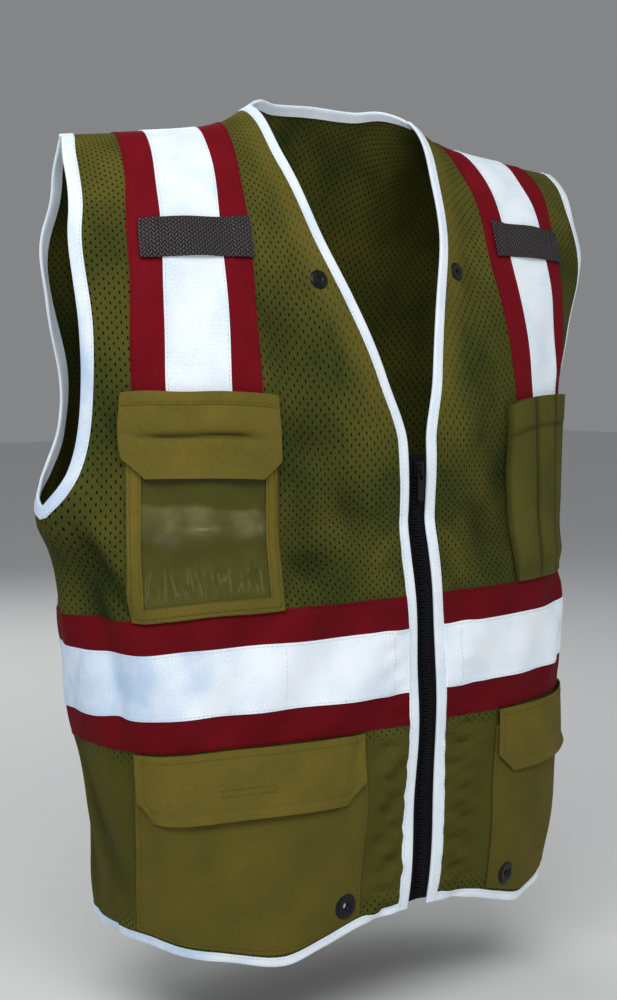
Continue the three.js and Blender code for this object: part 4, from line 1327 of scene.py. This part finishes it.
def card_flap_lift(u, v):
    line = crease_line(u)
    puffed = 0.9 * bell((v - line - 0.13) / 0.1) + 0.6 * bell((v - line + 0.13) / 0.1)
    curl = 2.2 * (1 - v) ** 3 * (1 + 0.4 * np.sin(9 * u))
    return CARD_LIFT["flap"] - 3.0 * card_crease(u, v) + puffed + curl


def strip_lift(_, v):
    return CARD_LIFT["strip"] + 0.5 * np.sin(v * math.pi)


def cut_window(piece, border):
    """Takes out the faces of a flat pocket front that the window shows through."""
    only(piece)
    bpy.ops.object.mode_set(mode="EDIT")
    bpy.ops.mesh.select_mode(type="FACE")
    bpy.ops.mesh.select_all(action="DESELECT")
    bpy.ops.object.mode_set(mode="OBJECT")
    for face in piece.data.polygons:
        x, y = face.center.x + 0.5, face.center.y + 0.5
        inside_x = border / CARD_WIDE < x < 1 - border / CARD_WIDE
        face.select = inside_x and y > border / CARD_TALL
    bpy.ops.object.mode_set(mode="EDIT")
    bpy.ops.mesh.delete(type="FACE")
    bpy.ops.object.mode_set(mode="OBJECT")


def card_border():
    piece = flat_cloth("card_border", *CARD_SIZE, BORDER_CELL)[0]
    cut_window(piece, CARD_BORDER)
    shares = mesh_points(piece) + 0.5
    u, v = shares[:, 0], shares[:, 1]
    inner = np.minimum(np.minimum(u, 1 - u) * CARD_WIDE, v * CARD_TALL) / CARD_BORDER
    lift = CARD_LIFT["border"] + BORDER_RISE * np.sin(np.clip(inner, 0, 1) * math.pi / 2)
    points, normals = cloth(RIGHT, FRONT, *card_place(u, v), lift)
    flat_places(piece, u * CARD_WIDE, v * CARD_TALL)
    return piece, lay(piece, points, normals, CARD_THICK["border"], POCKET_CLOTH)


def card_patch(part, place, lift, material, size, cell=PATCH_CELL, deep=None):
    return patch(f"card_{part}", RIGHT, place, lift, CARD_THICK[part], material, size, cell, deep)


CARD_STRIP_PLACE = flap_place(CARD["near"] - 1, CARD["far"] + 1, CARD["top"] + 1, CARD_STRIP, (0, 1))


def card_pocket():
    under = ("front_panel_right", "shoulder_tape_right")
    made = card_patch("back", card_place, even_lift(CARD_LIFT["back"]), POCKET_CLOTH, CARD_SIZE)
    sew_patch(made, "pocket_cloth", "id_pocket_backing", grown(CARD_SIZE, 2, 6), under)
    made = card_patch("window", card_place, vinyl_lift, VINYL, CARD_SIZE, WINDOW_CELL)
    sew_patch(made, "vinyl", "id_pocket_window", grown(CARD_SIZE, 2, 12), ("id_pocket_backing",))
    cut = (2 * CARD_TALL + CARD_WIDE, CARD_BORDER + 4)
    sew_patch(card_border(), "pocket_cloth", "id_pocket_frame", cut, ("id_pocket_window",))
    size = (CARD_WIDE, CARD_STRIP)
    strip = card_patch("strip", CARD_STRIP_PLACE, strip_lift, POCKET_CLOTH, size, STRIP_CELL)[0]
    sewn_on(strip, "pocket_cloth")
    place = flap_place(CARD["near"] - 2, CARD["far"] + 2, CARD["top"], CARD_FLAP, CARD_CUT)
    size = (CARD_WIDE + 4, CARD_FLAP)
    made = card_patch("flap", place, card_flap_lift, POCKET_CLOTH, size, FLAP_CELL, card_crease)
    sew_patch(made, "pocket_cloth", "id_pocket_flap", grown(size, 4, 4), ("id_pocket_frame",), [strip])


card_pocket()

# %% [markdown]
# ## Pen pocket
# On the left chest is an open pocket that is stitched into three slots for pens. Its top hem is doubled.
# Between the lines of stitches the cloth stands a little out, as it does where pens have been carried.

# %% Pen pocket
PEN = {"near": 115.0, "far": 233.0, "top": -250.0, "bottom": -381.0}
PEN_WIDE = PEN["far"] - PEN["near"]
PEN_TALL = PEN["top"] - PEN["bottom"]
PEN_SIZE = (PEN_WIDE, PEN_TALL)
PEN_SLOTS = 3
PEN_SLOT_OUT = 4.8
PEN_SLOT_FLAT = 0.45
PEN_HEM = 17.0
PEN_HEM_OUT = 0.7
PEN_HEM_STEP = 0.6
PEN_LIFT = {"back": 2.4, "front": 3.1}
PEN_THICK = {"back": 0.5, "front": 0.8}
PEN_CELL = 2.0


def pen_place(u, v):
    return between(PEN["near"], PEN["far"], u), between(PEN["bottom"], PEN["top"], v)


def pen_lift(u, v):
    slot = np.abs(np.sin(u * PEN_SLOTS * math.pi)) ** PEN_SLOT_FLAT
    hem = PEN_HEM_OUT * ease((1 - v) * PEN_TALL, PEN_HEM + PEN_HEM_STEP, PEN_HEM - PEN_HEM_STEP)
    return PEN_LIFT["front"] + PEN_SLOT_OUT * slot * ease(v, 0, 0.15) + hem


def pen_painted_shade(u, v):
    """Painted shade: dark lines in the sewn-down rows between the slots, and a painted shadow under the hem.
    """
    from_row = np.abs((u * PEN_SLOTS + 0.5) % 1 - 0.5) * PEN_WIDE / PEN_SLOTS
    under_hem = ((1 - v) * PEN_TALL - PEN_HEM - 1) / 1.6
    return np.clip(bell(from_row / 3.2) + 0.7 * bell(under_hem), 0, 1)


def pen_patch(part, lift, cell=PATCH_CELL, deep=None):
    return patch(f"pen_{part}", LEFT, pen_place, lift, PEN_THICK[part], PEN_SHADED_CLOTH, PEN_SIZE, cell, deep)


made = pen_patch("back", even_lift(PEN_LIFT["back"]))
under = ("front_panel_left", "shoulder_tape_left")
sew_patch(made, "pocket_cloth", "pen_pocket_backing", grown(PEN_SIZE, 2, 6), under)
made = pen_patch("front", pen_lift, PEN_CELL, pen_painted_shade)
sew_patch(made, "pocket_cloth", "pen_pocket_front", grown(PEN_SIZE, 16, 12), ("pen_pocket_backing",))

# %% [markdown]
# ## Lower pockets
# A wide pocket lies under each side of the waist band. It is sewn on at its sides and foot, so only its
# middle stands out. A flap with cut corners hangs over the mouth, with a stitched border and a narrow box
# of stitches where its fastener is sewn on behind.

# %% Lower pockets
LOWER = {RIGHT: (62.0, 254.0), LEFT: (80.0, 268.0)}
LOWER_TOP = -496.0
LOWER_FOOT = 8.5
LOWER_BULGE = 3.4
LOWER_TALL, LOWER_CUT_TALL = 140, 156
LOWER_FLAP = (-483.2, 53.0)
LOWER_FLAP_INSET = 2
LOWER_FLAP_WIDE = 195
LOWER_FLAP_LIFT = 1.4
LOWER_CORNER = (18.0, 15.0)
LOWER_THICK, LOWER_FLAP_THICK = 0.8, 1.0
LOWER_FLAP_CELL = 1.6
RIM = 7.0
LOWER_LIFT = 1.5
FLAP_SPRING = {RIGHT: 0.0, LEFT: 13.0}


def lower_place(side):
    def place(u, v):
        across = between(*LOWER[side], u)
        return across, between(hem_level(across) + LOWER_FOOT, LOWER_TOP, v)

    return place


def lower_lift(u, v):
    swell = (1 - np.abs(2 * u - 1) ** 4) * (1 - (1 - v) ** 4) * (0.45 + 0.55 * np.sin(math.pi * v))
    creases = 0.6 * np.sin(9 * u + 5 * v) * np.sin(6 * v + 1) * ease(np.minimum(u, 1 - u), 0, 0.1)
    return LOWER_LIFT + LOWER_BULGE * swell + creases * ease(v, 0, 0.2)


def rim(u, v, wide, tall):
    """A turned edge: a flat rim, with the groove of its stitches inside it."""
    inside = np.minimum(np.minimum(u, 1 - u) * wide, v * tall)
    return 0.6 * ease(inside, RIM + 1.2, RIM - 1.2) - 0.5 * bell((inside - RIM) / 1.3)


def flap_lift(side):
    def lift(u, v):
        above = np.clip(1 - 0.28 * (1 - v), 0, 1)
        curl = 2.6 * (1 - v) ** 2
        puffed = 0.8 * np.sin(math.pi * u) * np.sin(math.pi * v)
        edge = rim(u, v, LOWER_FLAP_WIDE, LOWER_FLAP[1])
        spring = FLAP_SPRING[side] * ease(u, 0.55, 1) ** 2 * (1 - v)
        return lower_lift(u, above) + LOWER_FLAP_LIFT + curl + puffed + edge + spring

    return lift


def lower_flap_place(side):
    near, far = LOWER[side]
    return flap_place(near + LOWER_FLAP_INSET, far - LOWER_FLAP_INSET, *LOWER_FLAP, LOWER_CORNER)


def lower_flap_wide(side):
    near, far = LOWER[side]
    return far - near - 2 * LOWER_FLAP_INSET


def lower_pocket(side):
    name = NAMES[side]
    wide = LOWER[side][1] - LOWER[side][0]
    size = (wide, LOWER_TALL)
    made = patch(f"lower_{name}", side, lower_place(side), lower_lift, LOWER_THICK, LOWER_SHADED_CLOTH, size)
    cut = (wide + 8, LOWER_CUT_TALL)
    pocket = sew_patch(made, "pocket_cloth", f"lower_pocket_{name}", cut, (f"front_panel_{name}",))
    size = (lower_flap_wide(side), LOWER_FLAP[1])
    shape = lower_flap_place(side), flap_lift(side), LOWER_FLAP_THICK
    made = patch(f"lower_flap_{name}", side, *shape, POCKET_CLOTH, size, LOWER_FLAP_CELL)
    sew_patch(made, "pocket_cloth", f"lower_flap_{name}", grown(size, 8, 6), (f"lower_pocket_{name}",))
    return pocket


lower_pockets = {side: lower_pocket(side) for side in BOTH}

# %% [markdown]
# ## Zip
# The zip has two woven tapes behind the bound edges and a black coil between them. The coil is a row of
# small bars, so one bar is worked out and repeated along the centre line as a single mesh. The slider and
# its pull keep the shape of the solids and only take a new finish.

# %% Zip
ZIP_TAPE = (0.1, 17.0)
ZIP_SIZE = (ZIP_TAPE[1] - ZIP_TAPE[0], 355.0)
ZIP_FOOT, ZIP_HEAD = 3, 4
ZIP_HEIGHT = -1.7
ZIP_THICK = 0.7
COIL_TOP = -289.0
COIL_FOOT = 5
COIL_PITCH = 2.3
COIL_HALF = 4.4
COIL_LIFT = -0.4
COIL_SLANT = 0.35
COIL_RADIUS = (1.12, 1.5)
BAR_SHARES = np.array([0, 0.08, 0.25, 0.75, 0.92, 1.0])
BAR_FAT = np.array([0.25, 0.75, 1.0, 1.0, 0.75, 0.25])
COARSE = [0, 2, 3, 5]


def zip_tape_place(u, v):
    across = between(*ZIP_TAPE, u)
    return across, between(hem_level(across) + ZIP_FOOT, ZIP_TOP_LEVEL - ZIP_HEAD, v)


def zip_tape(side):
    name = NAMES[side]
    lift = even_lift(ZIP_HEIGHT)
    made = patch(f"zip_cloth_{name}", side, zip_tape_place, lift, ZIP_THICK, ZIP_CLOTH, ZIP_SIZE)
    sew_patch(made, "zip_tape", f"zip_tape_{name}", grown(ZIP_SIZE, 1, 20), (f"front_panel_{name}",))


def joined(name, points, faces, material):
    """One mesh from many small ones."""
    mesh = bpy.data.meshes.new(name)
    mesh.from_pydata((points * MM).tolist(), [], faces)
    mesh.materials.append(material)
    piece = bpy.data.objects.new(name, mesh)
    bpy.context.collection.objects.link(piece)
    only(piece)
    edit_all(bpy.ops.mesh.normals_make_consistent, inside=False)
    bpy.ops.object.shade_smooth()
    return piece


def bars(name, starts, ends, ups, radius, material, sides=8):
    """A row of small bars with rounded ends, as one mesh. Each bar lies between two points."""
    shares, fat = BAR_SHARES, BAR_FAT
    if sides < 6:
        shares, fat = shares[COARSE], fat[COARSE]
    angles = (np.arange(sides) + 0.5) * TURN / sides
    along = ends - starts
    across = np.cross(along, ups)
    across /= np.linalg.norm(across, axis=-1, keepdims=True)
    middle = starts[:, None, :] + along[:, None, :] * shares[None, :, None]
    ring = across[:, None, None, :] * (np.cos(angles) * radius[0])[None, None, :, None]
    ring = ring + ups[:, None, None, :] * (np.sin(angles) * radius[1])[None, None, :, None]
    points = middle[:, :, None, :] + ring * fat[None, :, None, None]
    rings = len(shares)
    walls = [
        [i * sides + j, i * sides + (j + 1) % sides, (i + 1) * sides + (j + 1) % sides, (i + 1) * sides + j]
        for i in range(rings - 1)
        for j in range(sides)
    ]
    caps = [[i * sides + j for j in range(sides)] for i in (0, rings - 1)]
    first = np.arange(len(starts))[:, None, None] * rings * sides
    faces = []
    for shape in (walls, caps):
        faces += (np.array(shape)[None] + first).reshape(-1, len(shape[0])).tolist()
    return joined(name, points.reshape(-1, 3), faces, material)


def zip_coil():
    level = np.arange(float(hem_level(0.0)) + COIL_FOOT, COIL_TOP, COIL_PITCH)
    middle, normals = cloth(RIGHT, FRONT, np.zeros_like(level), level, COIL_LIFT)
    aside = np.array([COIL_HALF, 0, 0])
    turn = np.where(np.arange(len(level)) % 2, COIL_SLANT, -COIL_SLANT)[:, None] * np.array([0, 0, 1.0])
    coil = bars("zip_coil", middle - aside - turn, middle + aside + turn, normals, COIL_RADIUS, ZIP_COIL)
    sewn_on(coil, "zip_tape", "zip_chain")
    print("coil faces", len(coil.data.polygons))


for side in BOTH:
    zip_tape(side)
zip_coil()
for node in ("zip_slider", "zip_pull"):
    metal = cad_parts[node]
    metal.data.materials.clear()
    metal.data.materials.append(ENAMEL)

# %% [markdown]
# ## Eyelets
# Four black eyelets are set through the cloth: two small ones on the chest and two larger ones at the feet
# of the lower pockets. Each is a turned ring. It is flattened in edit mode to the thickness of the cloth
# that it clamps, and a cylinder cuts the hole through that cloth.

# %% Eyelets
NECK_EYELET = {"hole": 1.5, "flange": 8.0, "set_in": 21.0, "lift": 0.5, "thick": 3.4}
NECK_EYELET_LEVEL = {RIGHT: -180.0, LEFT: -172.0}
HEM_EYELET = {"hole": 2.0, "flange": 10.8, "rise": 23.0, "clamp": 3}
HEM_EYELET_INSET = {RIGHT: 15.0, LEFT: 24.0}
DRILL_ROOM = 1.25
DRILL_DEPTH = 0.04
DRILL_SIDES = 32
RING_STEPS = (48, 16)


def eyelet(name, side, across, level, size, lift, thick, cuts, node):
    point, normal = cloth(side, FRONT, np.array([across]), np.array([level]), lift)
    turn = Vector(normal[0]).to_track_quat("Z", "Y").to_euler()
    where = Vector(point[0] * MM)
    outer, inner = size["flange"] * MM, size["hole"] * MM
    for cloth_piece in cuts:
        bpy.ops.mesh.primitive_cylinder_add(
            vertices=DRILL_SIDES,
            radius=inner * DRILL_ROOM,
            depth=DRILL_DEPTH,
            location=where,
            rotation=turn,
        )
        drill = bpy.context.object
        modify(cloth_piece, "BOOLEAN", object=drill, operation="DIFFERENCE")
        bpy.data.objects.remove(drill)
    bpy.ops.object.select_all(action="DESELECT")
    half = (outer - inner) / 2
    bpy.ops.mesh.primitive_torus_add(
        major_segments=RING_STEPS[0],
        minor_segments=RING_STEPS[1],
        major_radius=inner + half,
        minor_radius=half,
        location=where,
        rotation=turn,
    )
    ring = bpy.context.object
    ring.name = ring.data.name = name
    edit_all(bpy.ops.transform.resize, value=(1, 1, thick * MM / 2 / half), orient_type="LOCAL")
    bpy.ops.object.transform_apply(location=True, rotation=True, scale=True)
    ring.data.materials.append(ENAMEL)
    bpy.ops.object.shade_smooth()
    sewn_on(ring, "grommet", node)


def neck_eyelet(side):
    name = NAMES[side]
    level = NECK_EYELET_LEVEL[side]
    across = float(front_edge(level)) + NECK_EYELET["set_in"]
    clamp = NECK_EYELET["lift"], NECK_EYELET["thick"], [panels[side]]
    eyelet(f"eyelet_neck_{name}", side, across, level, NECK_EYELET, *clamp, f"neck_grommet_{name}")


def hem_eyelet(side):
    name = NAMES[side]
    near, far = LOWER[side]
    across = near + HEM_EYELET_INSET[side]
    hem = float(hem_level(across))
    level = hem + HEM_EYELET["rise"]
    u = (across - near) / (far - near)
    v = (level - hem - LOWER_FOOT) / (LOWER_TOP - hem - LOWER_FOOT)
    top = float(lower_lift(np.array([u]), np.array([v]))[0]) + LOWER_THICK
    clamp = top / 2, top + HEM_EYELET["clamp"], [panels[side], lower_pockets[side]]
    eyelet(f"eyelet_hem_{name}", side, across, level, HEM_EYELET, *clamp, f"hem_grommet_{name}")


for side in BOTH:
    neck_eyelet(side)
    hem_eyelet(side)

# %% [markdown]
# ## Stitches
# The tape, the trim, the bindings and the pockets are all sewn with a lockstitch, which shows as a row of
# short raised dashes. A row follows a line of places on the cloth. The dashes of one thread are joined in
# one mesh, as thousands of separate objects would be slow, and each dash has only a few faces.

# %% Stitches
STITCH = 3.4
DASH = 2.5
DASH_RADIUS = (0.34, 0.28)
DASH_SIDES = 4
ROW_STEP = 2.0
ROW_POINTS = 60


def thread_finish(name, colour, shade):
    finish = Finish(name, Roughness=0.6, Specular_IOR_Level=0.2)
    tone = finish.noise(finish.add("TexCoord", output=3), 4, 2)
    finish.set(Base_Color=finish.mix(tone.ramp(0.3, 0.7), shade, colour))
    return finish.material


def dashes(points, normals):
    """Starts, ends and outward directions of the stitches along a line."""
    along = np.concatenate([[0], np.cumsum(np.linalg.norm(np.diff(points, axis=0), axis=-1))])
    places = np.arange(0, along[-1] - DASH, STITCH)

    def at(values, where):
        return np.stack([np.interp(where, along, values[:, k]) for k in range(3)], -1)

    return at(points, places), at(points, places + DASH), at(normals, places)


class Thread:
    """Collects the rows of one thread, and sews them as one mesh."""

    def __init__(self, name, slot, colour, shade):
        self.name = name
        self.slot = slot
        self.material = thread_finish(name, colour, shade)
        self.rows = []

    def row(self, chart, u, level, lift):
        path = even_path(np.asarray(u, float), np.asarray(level, float), ROW_STEP)
        self.rows.append(dashes(*chart(*path, lift)))

    def patch_row(self, side, place, lift, thick, u, v):
        steps = np.linspace(0, 1, ROW_POINTS * (len(u) - 1) + 1)
        corners = np.linspace(0, 1, len(u))
        u, v = np.interp(steps, corners, u), np.interp(steps, corners, v)
        self.rows.append(dashes(*cloth(side, FRONT, *place(u, v), lift(u, v) + thick)))

    def sew(self):
        starts, ends, ups = (np.concatenate(parts) for parts in zip(*self.rows))
        piece = bars(self.name, starts, ends, ups, DASH_RADIUS, self.material, DASH_SIDES)
        sewn_on(piece, self.slot)
        print(self.name, len(starts), "stitches")


white_thread = Thread("white_thread", "reflective_tape", (0.82, 0.87, 0.92), (0.60, 0.69, 0.78))
red_thread = Thread("red_thread", "red_trim", (0.14, 0.004, 0.01), (0.06, 0.002, 0.005))
olive_thread = Thread("olive_thread", "pocket_cloth", (0.15, 0.115, 0.02), (0.085, 0.074, 0.013))
dark_thread = Thread("dark_thread", "webbing", (0.07, 0.06, 0.065), (0.02, 0.018, 0.02))

# %% [markdown]
# ### Rows on the strips and the bindings
# Each strip is sewn along both of its long edges. A binding is sewn once, near its inner edge. On the waist
# tape a few rows also run upright, where the facing of the zip and the pocket bags behind it are caught.

# %% Rows on strips
UPRIGHT = {RIGHT: (36, 134), LEFT: (36,)}
UPRIGHT_INSET = 2
EDGE_INSET = 1.8
BAND_ROW_START = {FRONT: 20, BACK: 0}


def face_chart(side, face):
    if face == FRONT:
        return front_chart(side)
    return lambda u, level, lift: back_chart(side * u, level, lift)


def sew_strips(side):
    for thread, strip in ((red_thread, RED), (white_thread, TAPE)):
        lift = strip.lift + strip.thick + SEAM_LIFT
        inset = strip.wide / 2 - EDGE_INSET
        for edge in (-inset, inset):
            for face in (FRONT, BACK):
                level = np.linspace(BAND_TOP, -SEAM, 200)
                chart = face_chart(side, face)
                thread.row(chart, stripe_centre(side, face, level) + edge, level, lift)
                across = np.linspace(BAND_ROW_START[face], reach(side, face, BAND_LEVEL), 200)
                thread.row(chart, across, across * 0 + BAND_LEVEL + edge, lift)
    half = TAPE_WIDTH / 2 - UPRIGHT_INSET
    for across in UPRIGHT[side]:
        level = np.linspace(BAND_LEVEL - half, BAND_LEVEL + half, 30)
        white_thread.row(front_chart(side), level * 0 + across, level, TAPE.lift + TAPE.thick + SEAM_LIFT)


for side in BOTH:
    sew_strips(side)
for seam in binding_seams:
    white_thread.rows.append(dashes(*seam))

# %% [markdown]
# ### Rows on the pockets and the tabs
# The pockets are sewn round their sides and foot and the flaps along their rims. Each end of a tab is sewn
# down with a square.

# %% Rows on pockets
CARD_ROWS = ((4.0, 0.025), (4.6, 0.078))
CARD_ROW_THICK, CARD_STRIP_ROW = 1.0, 7.6
POCKET_ROW, FLAP_ROW = 0.9, 1.1
FULL_ROW = [0.01, 0.99]
FASTENER_BOX = ([0.42, 0.64, 0.64, 0.42, 0.42], [0.36, 0.36, 0.45, 0.45, 0.36])
TAB_ENDS = ((0.03, 0.15), (0.85, 0.97))


def around(inset_u, foot, head):
    """Down one side, along the foot and up the other side."""
    return [inset_u, inset_u, 1 - inset_u, 1 - inset_u], [head, foot, foot, head]


def sew_card():
    for height, inset in CARD_ROWS:
        path = around(inset, inset, 0.97)
        olive_thread.patch_row(RIGHT, card_place, even_lift(height), CARD_ROW_THICK, *path)
    lift = even_lift(CARD_STRIP_ROW)
    olive_thread.patch_row(RIGHT, CARD_STRIP_PLACE, lift, CARD_THICK["strip"], FULL_ROW, [0.2, 0.2])


def sew_pens():
    lines = [([u, u], FULL_ROW) for u in (0.02, 1 / 3, 2 / 3, 0.98)]
    lines += [(FULL_ROW, [v, v]) for v in (1 - (PEN_HEM - 2) / PEN_TALL, 0.015)]
    for line in lines:
        olive_thread.patch_row(LEFT, pen_place, pen_lift, POCKET_ROW, *line)


def sew_lower(side):
    olive_thread.patch_row(side, lower_place(side), lower_lift, POCKET_ROW, *around(0.015, 0.02, 0.99))
    place, lift = lower_flap_place(side), flap_lift(side)
    border = around(RIM / lower_flap_wide(side), RIM / LOWER_FLAP[1], 0.9)
    for line in (border, ([0.02, 0.98], [0.9, 0.9]), FASTENER_BOX):
        olive_thread.patch_row(side, place, lift, FLAP_ROW, *line)


def sew_tab(side):
    for start, end in TAB_ENDS:
        box = ([start, end, end, start, start], [0.1, 0.1, 0.9, 0.9, 0.1])
        dark_thread.patch_row(side, tab_place(side), tab_lift, TAB_THICK + SEAM_LIFT, *box)


sew_card()
sew_pens()
for side in BOTH:
    sew_lower(side)
    sew_tab(side)
for thread in (white_thread, red_thread, olive_thread, dark_thread):
    thread.sew()

# %% [markdown]
# ## Stage, light and camera
# The vest hangs over a plain pale floor in soft light from large lamps. The camera looks down a little from
# the wearer's right, at the angle of the photograph.

# %% Stage
FLOOR_LEVEL = -720
FLOOR_SIZE = 16
FLOOR_TONES = ((0.80, 0.80, 0.80), (0.84, 0.84, 0.84))
AIM = Vector((-0.028, 0, -0.349))
SKY, SKY_STRENGTH = (0.96, 0.98, 1.0, 1), 0.24
Lamp = namedtuple("Lamp", "name place wide tall power")
LAMPS = (
    Lamp("key", (-1.05, -1.0, 0.92), 2.2, 0.7, 28),
    Lamp("fill", (1.7, -1.3, 0.3), 1.6, 1.6, 4.5),
    Lamp("back", (0.4, 1.9, 0.9), 1.6, 1.6, 16),
)
CAMERA_PLACE = (-1.0044, -1.2057, -0.1859)
CAMERA = {"lens": 67.32, "sensor_width": 36, "shift_x": 0.0085, "shift_y": 0.044}


def aimed(name, data, place):
    """An object for a lamp or a camera that looks at the vest."""
    item = bpy.data.objects.new(name, data)
    bpy.context.collection.objects.link(item)
    item.location = place
    item.rotation_euler = (AIM - item.location).to_track_quat("-Z", "Y").to_euler()
    return item


def floor():
    bpy.ops.object.select_all(action="DESELECT")
    bpy.ops.mesh.primitive_plane_add(size=FLOOR_SIZE, location=(0, 0, FLOOR_LEVEL * MM))
    ground = bpy.context.object
    ground.name = "floor"
    finish = Finish("floor", Roughness=0.9, Specular_IOR_Level=0.1)
    tone = finish.add("TexNoise", Vector=finish.add("TexCoord", output=3), Scale=0.6)
    finish.set(Base_Color=finish.mix(tone, *FLOOR_TONES))
    ground.data.materials.append(finish.material)


def studio():
    world = bpy.data.worlds.new("studio")
    bpy.context.scene.world = world
    world.use_nodes = True
    background = world.node_tree.nodes["Background"]
    background.inputs["Color"].default_value = SKY
    background.inputs["Strength"].default_value = SKY_STRENGTH
    for lamp in LAMPS:
        light = bpy.data.lights.new(lamp.name, "AREA")
        light.shape = "RECTANGLE"
        light.size, light.size_y = lamp.wide, lamp.tall
        light.energy = lamp.power
        aimed(lamp.name, light, lamp.place)
    bpy.context.scene.view_settings.view_transform = "Standard"


def camera():
    lens = bpy.data.cameras.new("camera")
    for key, value in CAMERA.items():
        setattr(lens, key, value)
    bpy.context.scene.camera = aimed("camera", lens, CAMERA_PLACE)


floor()
studio()
camera()
